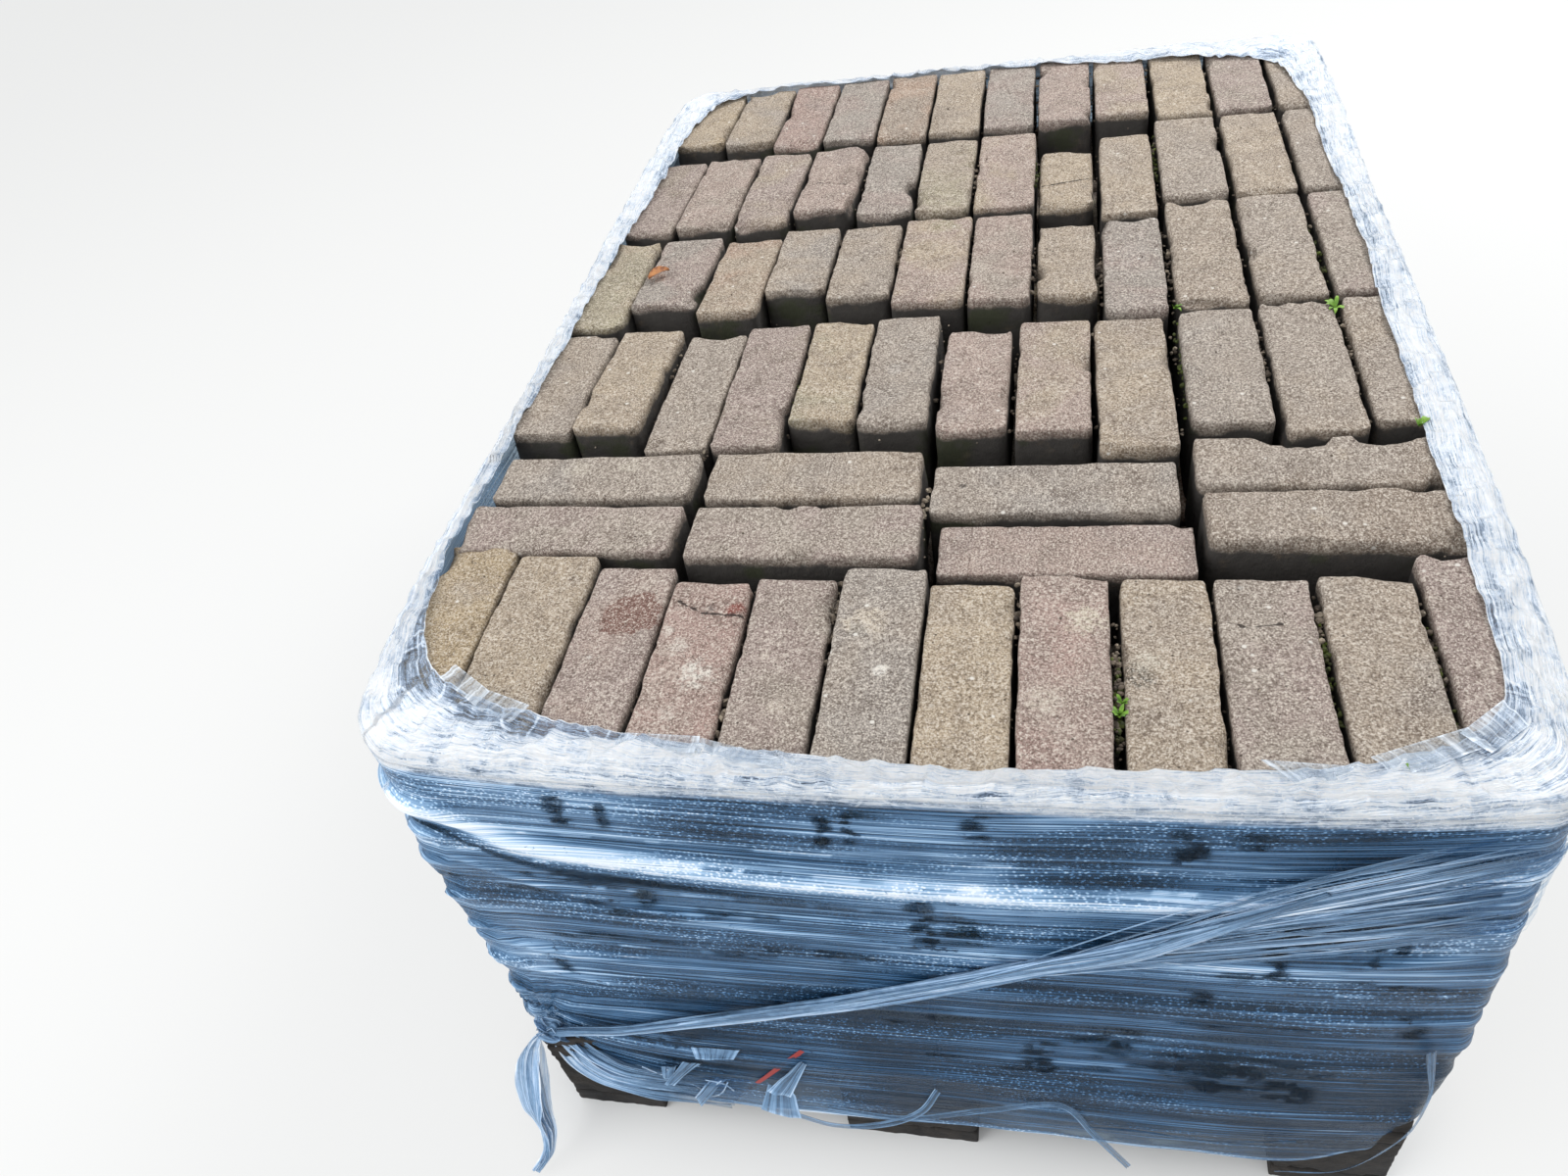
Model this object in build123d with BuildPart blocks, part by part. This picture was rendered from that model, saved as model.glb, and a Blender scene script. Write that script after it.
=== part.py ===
from build123d import *
import os

# A wrapped pallet of used paving bricks. All sizes are in millimetres.
# +Z is up, the front is towards -Y, and the origin is the middle of the pallet's underside.
os.makedirs("parts", exist_ok=True)

# Driving sizes of the bricks and of the way they are laid.
BRICK_LENGTH = 200.0
BRICK_WIDTH = 65.0
BRICK_HEIGHT = 82.0
COLUMN_COUNT = 12
CROSSWISE_COUNT = 4
SIDE_JOINT = 2.8
ROW_JOINT = 7.0
WORN_EDGE = 3.0
LAYER_COUNT = 5

# Driving sizes of the pallet. The bricks overhang its sides, and its deck reaches
# a little beyond them at the front and at the back.
SIDE_OVERHANG = 25.4
END_REACH = 14.0
BOARD_THICKNESS = 22.0
BLOCK_HEIGHT = 78.0
BLOCK_DEPTH = 130.0
SIDE_BLOCK_WIDTH = 95.0
MIDDLE_BLOCK_WIDTH = 125.0
MIDDLE_BLOCK_SHIFT = -35.0
DECK_BOARD_WIDTH = 125.0
DECK_BOARD_COUNT = 5
STRINGER_WIDTH = 110.0

# Driving sizes of the stretch film.
FILM_THICKNESS = 1.0
FILM_CLEARANCE = 3.0
FILM_CORNER = 8.0
FILM_FLARE_HEIGHT = 60.0
FILM_OVERLAP = 40.0
RIM_WIDTH = 34.0
LEFT_WEB = 95.0
RIGHT_WEB = 50.0
BACK_WEB = 45.0
ROPE_WIDTH = 13.0
ROPE_GAP = 1.6
TAIL_THICKNESS = 2.0
TAIL_LEAN = 26.0
TAIL_LENGTH = 132.0
TAIL_WIDTH = 25.0
LOOSE_GAP = 0.3

# Sizes that follow from the driving ones.
LOAD_WIDTH = COLUMN_COUNT * BRICK_WIDTH + (COLUMN_COUNT - 1) * SIDE_JOINT
CROSS_JOINT = (LOAD_WIDTH - CROSSWISE_COUNT * BRICK_LENGTH) / (CROSSWISE_COUNT - 1)
LONG_ROWS = 5
CROSS_ROWS = 2
LOAD_DEPTH = (
    LONG_ROWS * BRICK_LENGTH
    + CROSS_ROWS * BRICK_WIDTH
    + (LONG_ROWS + CROSS_ROWS - 1) * ROW_JOINT
)
PALLET_WIDTH = LOAD_WIDTH - 2 * SIDE_OVERHANG
PALLET_DEPTH = LOAD_DEPTH + 2 * END_REACH
STRINGER_BASE = BOARD_THICKNESS + BLOCK_HEIGHT
DECK_BASE = STRINGER_BASE + BOARD_THICKNESS
DECK_TOP = DECK_BASE + BOARD_THICKNESS
TOP_LAYER_BASE = DECK_TOP + (LAYER_COUNT - 1) * BRICK_HEIGHT
LOAD_FRONT = -LOAD_DEPTH / 2

# How each layer is laid, counted from the front row to the back row.
HEADERS_FIRST = ["long", "cross", "cross", "long", "long", "long", "long"]
STRETCHERS_FIRST = ["cross", "cross", "long", "long", "long", "long", "long"]

# The bricks of the top layer, row by row and from left to right.
# Each one has how far it slips back, how much shorter it is than a new brick,
# and how much higher its front end and its back end are than the layer.
TOP_ROWS = [
    [
        (11, 4, 1, -1), (8, 2, 3, 0), (4, 3, 2, -1), (0, 10, 3, 0),
        (0, 8, 3, 1), (2, 2, 4, 2), (0, 12, 2, -1), (1, 4, 3, 0),
        (0, 6, 1, -2), (0, 8, 3, 0), (2, 4, 2, 1), (4, 2, 0, 2),
    ],
    [(7, 1, 2, 1), (1, 0, 4, 3), (-9, 2, -6, -8), (11, 0, 6, 4)],
    [(7, 1, 1, 0), (2, 0, 2, 2), (-12, 1, -3, -4), (6, 0, 3, 2)],
    [
        (30, 20, 2, -2), (31, 22, 5, -1), (5, 3, -3, -5), (3, 0, 3, -1),
        (31, 19, 5, -2), (25, 13, 6, 0), (15, 14, 4, -3), (12, 12, 4, -2),
        (-14, 2, 4, -2), (17, 14, 3, 0), (4, 4, 2, 1), (13, 9, 1, 2),
    ],
    [
        (4, 4, 1, -1), (37, 38, 4, -3), (18, 32, 5, -2), (50, 50, 6, -1),
        (33, 33, 6, -1), (18, 14, 6, 0), (16, 13, 5, -1), (18, 40, 4, -3),
        (-13, 9, 3, -1), (-1, 0, 3, 1), (0, 3, 2, 2), (5, 2, 2, 1),
    ],
    [
        (5, 8, 0, -3), (8, 10, 3, -2), (5, 6, 3, -1), (21, 14, 5, 0),
        (5, 6, 4, 0), (5, 8, 3, -2), (0, 3, 4, 0), (8, 60, -4, -7),
        (-26, 2, 2, -2), (0, 2, 3, 1), (0, 2, 2, 1), (2, 3, 1, 0),
    ],
    [
        (30, 32, 1, -3), (22, 24, 2, -2), (2, 4, 3, -1), (4, 4, 3, 0),
        (0, 2, 4, 1), (0, 2, 4, 0), (2, 4, 4, 0), (4, 6, 5, 1),
        (13, 18, 3, -1), (0, 4, 2, 0), (0, 6, 2, -1), (0, 3, 1, 0),
    ],
]
HIGHEST_RISE = max(max(near, far) for row in TOP_ROWS for _, _, near, far in row)


# The lower layers, with headers and stretchers taking turns at the front.
for layer_number in range(1, LAYER_COUNT):
    headers = (LAYER_COUNT - layer_number) % 2 == 0
    row_front = LOAD_FRONT
    with BuildPart() as lower_layer:
        with BuildSketch(Plane.XY.offset(DECK_TOP + (layer_number - 1) * BRICK_HEIGHT)):
            for kind in HEADERS_FIRST if headers else STRETCHERS_FIRST:
                if kind == "long":
                    count, width, depth, joint = COLUMN_COUNT, BRICK_WIDTH, BRICK_LENGTH, SIDE_JOINT
                else:
                    count, width, depth, joint = CROSSWISE_COUNT, BRICK_LENGTH, BRICK_WIDTH, CROSS_JOINT
                with Locations((0, row_front + depth / 2)):
                    with GridLocations(width + joint, 0, count, 1):
                        Rectangle(width, depth)
                row_front = row_front + depth + ROW_JOINT
        extrude(amount=BRICK_HEIGHT)
        chamfer(lower_layer.edges().filter_by(Axis.Z), WORN_EDGE)
    lower_layer.part.label = f"brick_layer_{layer_number}"
    export_step(lower_layer.part, f"parts/brick_layer_{layer_number}.step")


# The side view of one uneven brick, its worn ends cut off at the corners.
def brick_side(x, near_y, far_y, near_rise, far_rise):
    near_top = TOP_LAYER_BASE + BRICK_HEIGHT + near_rise
    far_top = TOP_LAYER_BASE + BRICK_HEIGHT + far_rise
    with BuildSketch(Plane.YZ.offset(x), mode=Mode.PRIVATE) as side:
        with BuildLine():
            Polyline(
                (near_y, TOP_LAYER_BASE),
                (far_y, TOP_LAYER_BASE),
                (far_y, far_top - WORN_EDGE),
                (far_y - WORN_EDGE, far_top),
                (near_y + WORN_EDGE, near_top),
                (near_y, near_top - WORN_EDGE),
                close=True,
            )
        make_face()
    return side.sketch.face()


# The top layer, whose bricks are worn, short and uneven.
long_sides = []
cross_sides = []
row_front = LOAD_FRONT
for kind, row in zip(HEADERS_FIRST, TOP_ROWS):
    for i, (slip, short, near_rise, far_rise) in enumerate(row):
        near_y = row_front + slip
        if kind == "long":
            x = (i - COLUMN_COUNT / 2) * (BRICK_WIDTH + SIDE_JOINT) + SIDE_JOINT / 2
            far_y = near_y + BRICK_LENGTH - short
            long_sides.append(brick_side(x, near_y, far_y, near_rise, far_rise))
        else:
            x = (i - CROSSWISE_COUNT / 2) * (BRICK_LENGTH + CROSS_JOINT) + CROSS_JOINT / 2
            far_y = near_y + BRICK_WIDTH - short
            cross_sides.append(brick_side(x, near_y, far_y, near_rise, far_rise))
    row_front = row_front + (BRICK_LENGTH if kind == "long" else BRICK_WIDTH) + ROW_JOINT
with BuildPart() as top_layer:
    extrude(long_sides, amount=BRICK_WIDTH)
    extrude(cross_sides, amount=BRICK_LENGTH)
top_layer.part.label = f"brick_layer_{LAYER_COUNT}"
export_step(top_layer.part, f"parts/brick_layer_{LAYER_COUNT}.step")

# The pallet's three rows of blocks, seen from above.
BLOCK_COLUMNS = [
    ("left", -(PALLET_WIDTH - SIDE_BLOCK_WIDTH) / 2, SIDE_BLOCK_WIDTH),
    ("middle", MIDDLE_BLOCK_SHIFT, MIDDLE_BLOCK_WIDTH),
    ("right", (PALLET_WIDTH - SIDE_BLOCK_WIDTH) / 2, SIDE_BLOCK_WIDTH),
]
BLOCK_ROWS = [
    ("front", -(PALLET_DEPTH - BLOCK_DEPTH) / 2),
    ("centre", 0.0),
    ("back", (PALLET_DEPTH - BLOCK_DEPTH) / 2),
]
STRINGER_INSET = (BLOCK_DEPTH - STRINGER_WIDTH) / 2
ON_TOP = (Align.CENTER, Align.CENTER, Align.MIN)

# The runners under the blocks, from the front to the back.
for side, x, width in BLOCK_COLUMNS:
    with BuildPart() as runner:
        with Locations((x, 0, 0)):
            Box(width, PALLET_DEPTH, BOARD_THICKNESS, align=ON_TOP)
        chamfer(runner.edges().filter_by(Axis.Y).group_by(Axis.Z)[0], 2)
    runner.part.label = f"pallet_runner_{side}"
    export_step(runner.part, f"parts/pallet_runner_{side}.step")

# The nine blocks.
for side, x, width in BLOCK_COLUMNS:
    for row_name, y in BLOCK_ROWS:
        with BuildPart() as block:
            with Locations((x, y, BOARD_THICKNESS)):
                Box(width, BLOCK_DEPTH, BLOCK_HEIGHT, align=ON_TOP)
            chamfer(block.edges().filter_by(Axis.Z), 3)
        block.part.label = f"pallet_block_{row_name}_{side}"
        export_step(block.part, f"parts/pallet_block_{row_name}_{side}.step")

# The three stringer boards across the blocks.
for row_name, y in BLOCK_ROWS:
    outward = (y > 0) - (y < 0)
    with BuildPart() as stringer:
        with Locations((0, y + outward * STRINGER_INSET, STRINGER_BASE)):
            Box(PALLET_WIDTH, STRINGER_WIDTH, BOARD_THICKNESS, align=ON_TOP)
        chamfer(stringer.edges().filter_by(Axis.X), 1)
    stringer.part.label = f"pallet_stringer_{row_name}"
    export_step(stringer.part, f"parts/pallet_stringer_{row_name}.step")

# The deck boards under the bricks.
for number in range(DECK_BOARD_COUNT):
    share = number / (DECK_BOARD_COUNT - 1) - 0.5
    with BuildPart() as deck_board:
        with Locations((share * (PALLET_WIDTH - DECK_BOARD_WIDTH), 0, DECK_BASE)):
            Box(DECK_BOARD_WIDTH, PALLET_DEPTH, BOARD_THICKNESS, align=ON_TOP)
        chamfer(deck_board.edges().filter_by(Axis.Y), 1)
    deck_board.part.label = f"pallet_deck_board_{number + 1}"
    export_step(deck_board.part, f"parts/pallet_deck_board_{number + 1}.step")

# The stretch film: a skin round the load that is folded in over its top edges,
# flares out over the ends of the deck and draws in below the overhanging bricks.
LOAD_WRAP = (LOAD_WIDTH + 2 * FILM_CLEARANCE, LOAD_DEPTH + 2 * FILM_CLEARANCE)
DECK_WRAP_DEPTH = max(LOAD_DEPTH, PALLET_DEPTH) + 2 * FILM_CLEARANCE
FOOT_WRAP_WIDTH = min(LOAD_WRAP[0], PALLET_WIDTH + 4 * FILM_CLEARANCE)
FLARE_TOP = DECK_TOP + FILM_FLARE_HEIGHT
FILM_BASE = DECK_TOP - FILM_OVERLAP
RIM_BASE = TOP_LAYER_BASE + BRICK_HEIGHT + HIGHEST_RISE + LOOSE_GAP
FILM_TOP = RIM_BASE + FILM_THICKNESS
FILM_SECTIONS = [
    (FILM_BASE, FOOT_WRAP_WIDTH, DECK_WRAP_DEPTH),
    (DECK_TOP, LOAD_WRAP[0], DECK_WRAP_DEPTH),
    (FLARE_TOP, LOAD_WRAP[0], LOAD_WRAP[1]),
    (RIM_BASE, LOAD_WRAP[0], LOAD_WRAP[1]),
]
RIM_LEFT = -LOAD_WRAP[0] / 2 + RIM_WIDTH
RIM_RIGHT = LOAD_WRAP[0] / 2 - RIM_WIDTH
RIM_FRONT = -LOAD_WRAP[1] / 2 + RIM_WIDTH
RIM_BACK = LOAD_WRAP[1] / 2 - RIM_WIDTH
with BuildPart() as film:
    for height, width, depth in FILM_SECTIONS:
        with BuildSketch(Plane.XY.offset(height)):
            RectangleRounded(
                width + 2 * FILM_THICKNESS,
                depth + 2 * FILM_THICKNESS,
                FILM_CORNER + FILM_THICKNESS,
            )
    loft(ruled=True)
    with BuildSketch(Plane.XY.offset(RIM_BASE)):
        RectangleRounded(
            LOAD_WRAP[0] + 2 * FILM_THICKNESS,
            LOAD_WRAP[1] + 2 * FILM_THICKNESS,
            FILM_CORNER + FILM_THICKNESS,
        )
    extrude(amount=FILM_THICKNESS)
    for height, width, depth in FILM_SECTIONS:
        with BuildSketch(Plane.XY.offset(height)):
            RectangleRounded(width, depth, FILM_CORNER)
    loft(ruled=True, mode=Mode.SUBTRACT)
    with BuildSketch(Plane.XY.offset(RIM_BASE)):
        with BuildLine():
            Polyline(
                (RIM_LEFT, RIM_FRONT + LEFT_WEB),
                (RIM_LEFT + LEFT_WEB, RIM_FRONT),
                (RIM_RIGHT - RIGHT_WEB, RIM_FRONT),
                (RIM_RIGHT, RIM_FRONT + RIGHT_WEB),
                (RIM_RIGHT, RIM_BACK - BACK_WEB),
                (RIM_RIGHT - BACK_WEB, RIM_BACK),
                (RIM_LEFT + BACK_WEB, RIM_BACK),
                (RIM_LEFT, RIM_BACK - BACK_WEB),
                close=True,
            )
        make_face()
    extrude(amount=FILM_THICKNESS, mode=Mode.SUBTRACT)
film.part.label = "stretch_film"
export_step(film.part, "parts/stretch_film.step")


# The outer face of the film at the front, at a height above the deck.
def film_front(height):
    flare = max(0.0, 1.0 - (height - DECK_TOP) / FILM_FLARE_HEIGHT)
    depth = LOAD_WRAP[1] + min(1.0, flare) * (DECK_WRAP_DEPTH - LOAD_WRAP[1])
    return -depth / 2 - FILM_THICKNESS


# The rope of gathered film across the front. Each point has its share of the
# load's width from the left, and its share of the load's height from the deck.
ROPE_POINTS = [
    (0.07, 0.05), (0.24, 0.17), (0.43, 0.33),
    (0.61, 0.53), (0.76, 0.74), (0.90, 0.93),
]
LOAD_HEIGHT = LAYER_COUNT * BRICK_HEIGHT
rope_path = []
for across, up in ROPE_POINTS:
    rope_height = DECK_TOP + up * LOAD_HEIGHT
    rope_y = film_front(rope_height) - ROPE_WIDTH / 2 - ROPE_GAP
    rope_path.append(((across - 0.5) * LOAD_WIDTH, rope_y, rope_height))
with BuildPart() as rope:
    with BuildLine() as rope_line:
        Spline(*rope_path)
    with BuildSketch(Plane(rope_path[0], z_dir=rope_line.line % 0)):
        Circle(ROPE_WIDTH / 2)
    sweep()
rope.part.label = "film_rope"
export_step(rope.part, "parts/film_rope.step")

# The loose tail of film, which leans out from the lower left corner of the front.
TAIL_X = -0.47 * LOAD_WIDTH
TAIL_TOP = DECK_TOP - 8
TAIL_PLANE = Plane(
    (TAIL_X, film_front(TAIL_TOP) - LOOSE_GAP, TAIL_TOP), x_dir=(1, 0, 0), z_dir=(0, -1, 0)
).rotated((-TAIL_LEAN, 0, 0))
with BuildPart() as tail:
    with BuildSketch(TAIL_PLANE):
        with BuildLine():
            Polyline(
                (-0.24 * TAIL_WIDTH, 0),
                (-0.6 * TAIL_WIDTH, -0.3 * TAIL_LENGTH),
                (-TAIL_WIDTH, -0.6 * TAIL_LENGTH),
                (-0.88 * TAIL_WIDTH, -TAIL_LENGTH),
                (-0.48 * TAIL_WIDTH, -TAIL_LENGTH),
                (0, -0.6 * TAIL_LENGTH),
                (0.36 * TAIL_WIDTH, -0.3 * TAIL_LENGTH),
                (0.32 * TAIL_WIDTH, 0),
                close=True,
            )
        make_face()
    extrude(amount=TAIL_THICKNESS)
tail.part.label = "film_tail"
export_step(tail.part, "parts/film_tail.step")
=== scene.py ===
import bpy
import math
import numpy as np
from mathutils import Matrix, Vector


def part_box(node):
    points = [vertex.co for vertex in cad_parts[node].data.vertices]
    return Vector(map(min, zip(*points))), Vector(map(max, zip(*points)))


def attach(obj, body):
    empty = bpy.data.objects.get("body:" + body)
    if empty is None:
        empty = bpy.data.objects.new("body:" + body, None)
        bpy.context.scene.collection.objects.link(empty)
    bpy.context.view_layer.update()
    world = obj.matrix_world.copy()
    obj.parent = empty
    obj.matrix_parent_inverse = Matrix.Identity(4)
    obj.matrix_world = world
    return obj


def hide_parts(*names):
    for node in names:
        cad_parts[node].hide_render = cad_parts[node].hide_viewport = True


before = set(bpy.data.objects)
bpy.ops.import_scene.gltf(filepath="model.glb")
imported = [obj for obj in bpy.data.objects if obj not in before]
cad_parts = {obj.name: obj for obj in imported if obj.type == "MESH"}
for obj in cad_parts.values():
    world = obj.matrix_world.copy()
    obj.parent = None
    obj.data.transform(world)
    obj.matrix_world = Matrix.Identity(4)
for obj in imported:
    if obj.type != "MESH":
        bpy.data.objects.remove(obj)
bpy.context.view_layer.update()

# The load's own measures start at its front left top corner, with heights below its top negative.
# This carries them to the row frame.
LEFT, FRONT, TOP = -0.4075, -0.590, 0.554
LOAD_WIDE, LOAD_DEEP = 0.8150, 1.1800
DECK, LAYER = 0.144, 0.082
TINY = 1e-9


# Helpers for numbers and shapes.
def detail(quick, full):
    return full


def srgb(*tone):
    """A colour from its tones of 0 to 255."""
    shares = [c / 255 for c in tone]
    return tuple(c / 12.92 if c <= 0.04045 else ((c + 0.055) / 1.055) ** 2.4 for c in shares)


CELLS = 32
LATTICE = np.random.default_rng(11).random((CELLS, CELLS, CELLS))


def noise(x, y, z):
    """Smooth noise from 0 to 1, the same every time."""
    at = np.broadcast_arrays(x, y, z)
    cell = [np.floor(a).astype(int) for a in at]
    part = [a - c for a, c in zip(at, cell)]
    part = [p * p * (3 - 2 * p) for p in part]
    out = np.zeros(at[0].shape)
    for corner in np.ndindex(2, 2, 2):
        weight = 1.0
        for p, k in zip(part, corner):
            weight = weight * (p if k else 1 - p)
        out += weight * LATTICE[tuple((c + k) % CELLS for c, k in zip(cell, corner))]
    return out


def rough(x, y, z, octaves=3):
    total, size, weight = 0, 1.0, 0.0
    for n in range(octaves):
        total = total + size * noise(x * 2 ** n + 7.3 * n, y * 2 ** n + 3.1 * n, z * 2 ** n)
        weight += size
        size *= 0.5
    return total / weight


def ramp(x, a, b):
    t = np.clip((x - a) / (b - a), 0, 1)
    return t * t * (3 - 2 * t)


def bell(x, middle, width):
    """1 at the middle, and falling off smoothly on both sides of it."""
    return np.exp(-(((x - middle) / width) ** 2))


def creases(x, y, size, seed, sharp):
    """A net of sharp creases between cells of a size, 1 on a crease and 0 away from it."""
    x, y = np.asarray(x) / size, np.asarray(y) / size
    cx, cy = np.floor(x).astype(int), np.floor(y).astype(int)
    near = np.full(x.shape, 9.0)
    second = near.copy()
    for i, j in np.ndindex(3, 3):
        px, py = cx + i - 1, cy + j - 1
        ax, ay = (px + seed) % CELLS, (py + 2 * seed) % CELLS
        d = np.hypot(x - px - LATTICE[ax, ay, 3], y - py - LATTICE[ax, ay, 7])
        second = np.minimum(second, np.maximum(near, d))
        near = np.minimum(near, d)
    return np.clip(1 - (second - near) * sharp, 0, 1)


def between(x, table):
    """Smooth values between given points."""
    xs, *columns = (np.array(column) for column in zip(*table))
    i = np.clip(np.searchsorted(xs, x) - 1, 0, len(xs) - 2)
    h = xs[i + 1] - xs[i]
    t = np.clip((x - xs[i]) / h, 0, 1)
    out = []
    for ys in columns:
        slopes = np.gradient(ys, xs)
        out.append(
            (2 * t ** 3 - 3 * t ** 2 + 1) * ys[i] + (t ** 3 - 2 * t ** 2 + t) * h * slopes[i]
            + (-2 * t ** 3 + 3 * t ** 2) * ys[i + 1] + (t ** 3 - t ** 2) * h * slopes[i + 1]
        )
    return out if len(out) > 1 else out[0]


def unit_grid(rows, cols, start=0):
    """Shares from 0 to 1 down the rows, and from a start to 1 along the columns."""
    return np.meshgrid(np.linspace(0, 1, rows), np.linspace(start, 1, cols), indexing="ij")


def grid_index(rows, cols):
    return np.arange(rows * cols).reshape(rows, cols)


def grid_quads(index, turned=False):
    """Quads between the points of a grid of indices."""
    a, b, c, d = index[:-1, :-1], index[:-1, 1:], index[1:, 1:], index[1:, :-1]
    return np.stack([a, d, c, b] if turned else [a, b, c, d], -1).reshape(-1, 4)


def lattice_box(counts):
    """The surface of a block of cells: index triples of its points, and its quads."""
    at = np.stack(np.meshgrid(*(np.arange(count) for count in counts), indexing="ij"), -1)
    skin = ((at == 0) | (at == np.array(counts) - 1)).any(-1)
    index = np.zeros(counts, int)
    index[skin] = np.arange(skin.sum())
    quads = []
    for axis, end, flip in (
        (2, 0, True), (2, -1, False), (1, 0, False), (1, -1, True), (0, 0, True), (0, -1, False),
    ):
        q = grid_quads(np.take(index, end, axis), turned=True)
        quads.append(q[:, ::-1] if flip else q)
    return at[skin], np.concatenate(quads)


def stations(length, step, edge):
    """Places along a length: close together near both ends, and a step apart between them."""
    count = max(2, int(round((length - 2 * edge[-1]) / step)) + 1)
    inner = np.linspace(edge[-1], length - edge[-1], count)
    return np.concatenate([edge[:-1], inner, length - np.array(edge[:-1][::-1])])


def rounded(p, half, radius):
    """Points of a block about its middle, with its edges rounded off."""
    core = half - radius[:, None]
    q = np.abs(p) - core
    out = np.maximum(q, 0)
    far = np.linalg.norm(out, axis=1)
    k = np.where((far > radius) & ((q > 0).sum(1) > 1), radius / np.maximum(far, TINY), 1)
    return np.sign(p) * (np.minimum(np.abs(p), core) + out * k[:, None])


def joined(parts):
    """Several meshes as one: points, faces, and what else each part holds for its points."""
    points, faces, *rest = zip(*parts)
    starts = np.cumsum([0] + [len(p) for p in points])
    faces = [np.asarray(f) + start for f, start in zip(faces, starts)]
    return [np.concatenate(one) for one in (points, faces, *rest)]


def in_row(points):
    """Carries the load's own measures to the row frame."""
    return np.asarray(points, float) + np.array([LEFT, FRONT, TOP])


def make_object(name, points, faces, attributes=None, smooth=True, material=None):
    """A mesh object with a value or vector for each point under each attribute's name."""
    mesh = bpy.data.meshes.new(name)
    points, faces = np.asarray(points, np.float32), np.asarray(faces, np.int32)
    side = faces.shape[1]
    mesh.vertices.add(len(points))
    mesh.vertices.foreach_set("co", points.ravel())
    mesh.loops.add(faces.size)
    mesh.loops.foreach_set("vertex_index", faces.ravel())
    mesh.polygons.add(len(faces))
    mesh.polygons.foreach_set("loop_start", np.arange(0, faces.size, side, dtype=np.int32))
    mesh.polygons.foreach_set("loop_total", np.full(len(faces), side, np.int32))
    mesh.update(calc_edges=True)
    mesh.polygons.foreach_set("use_smooth", np.full(len(faces), smooth))
    for key, value in (attributes or {}).items():
        value = np.asarray(value, np.float32)
        kind, field = ("FLOAT", "value") if value.ndim == 1 else ("FLOAT_VECTOR", "vector")
        mesh.attributes.new(key, kind, "POINT").data.foreach_set(field, value.ravel())
    thing = bpy.data.objects.new(name, mesh)
    bpy.context.scene.collection.objects.link(thing)
    mesh.materials.append(material)
    return thing


# Helpers for materials.
class Value:
    """A number in a material that takes plain arithmetic."""

    def __init__(self, nodes, socket):
        self.nodes, self.socket = nodes, socket

    def __add__(self, other):
        return self.nodes.math("ADD", self, other)

    def __sub__(self, other):
        return self.nodes.math("SUBTRACT", self, other)

    def __rsub__(self, other):
        return self.nodes.math("SUBTRACT", other, self)

    def __mul__(self, other):
        return self.nodes.math("MULTIPLY", self, other)

    def steps(self, a, b, low=0.0, high=1.0):
        """Runs smoothly from low to high while the number runs from a to b."""
        inputs = {"Value": self, "From Min": a, "From Max": b, "To Min": low, "To Max": high}
        return self.nodes.value("ShaderNodeMapRange", inputs, interpolation_type="SMOOTHSTEP")


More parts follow.
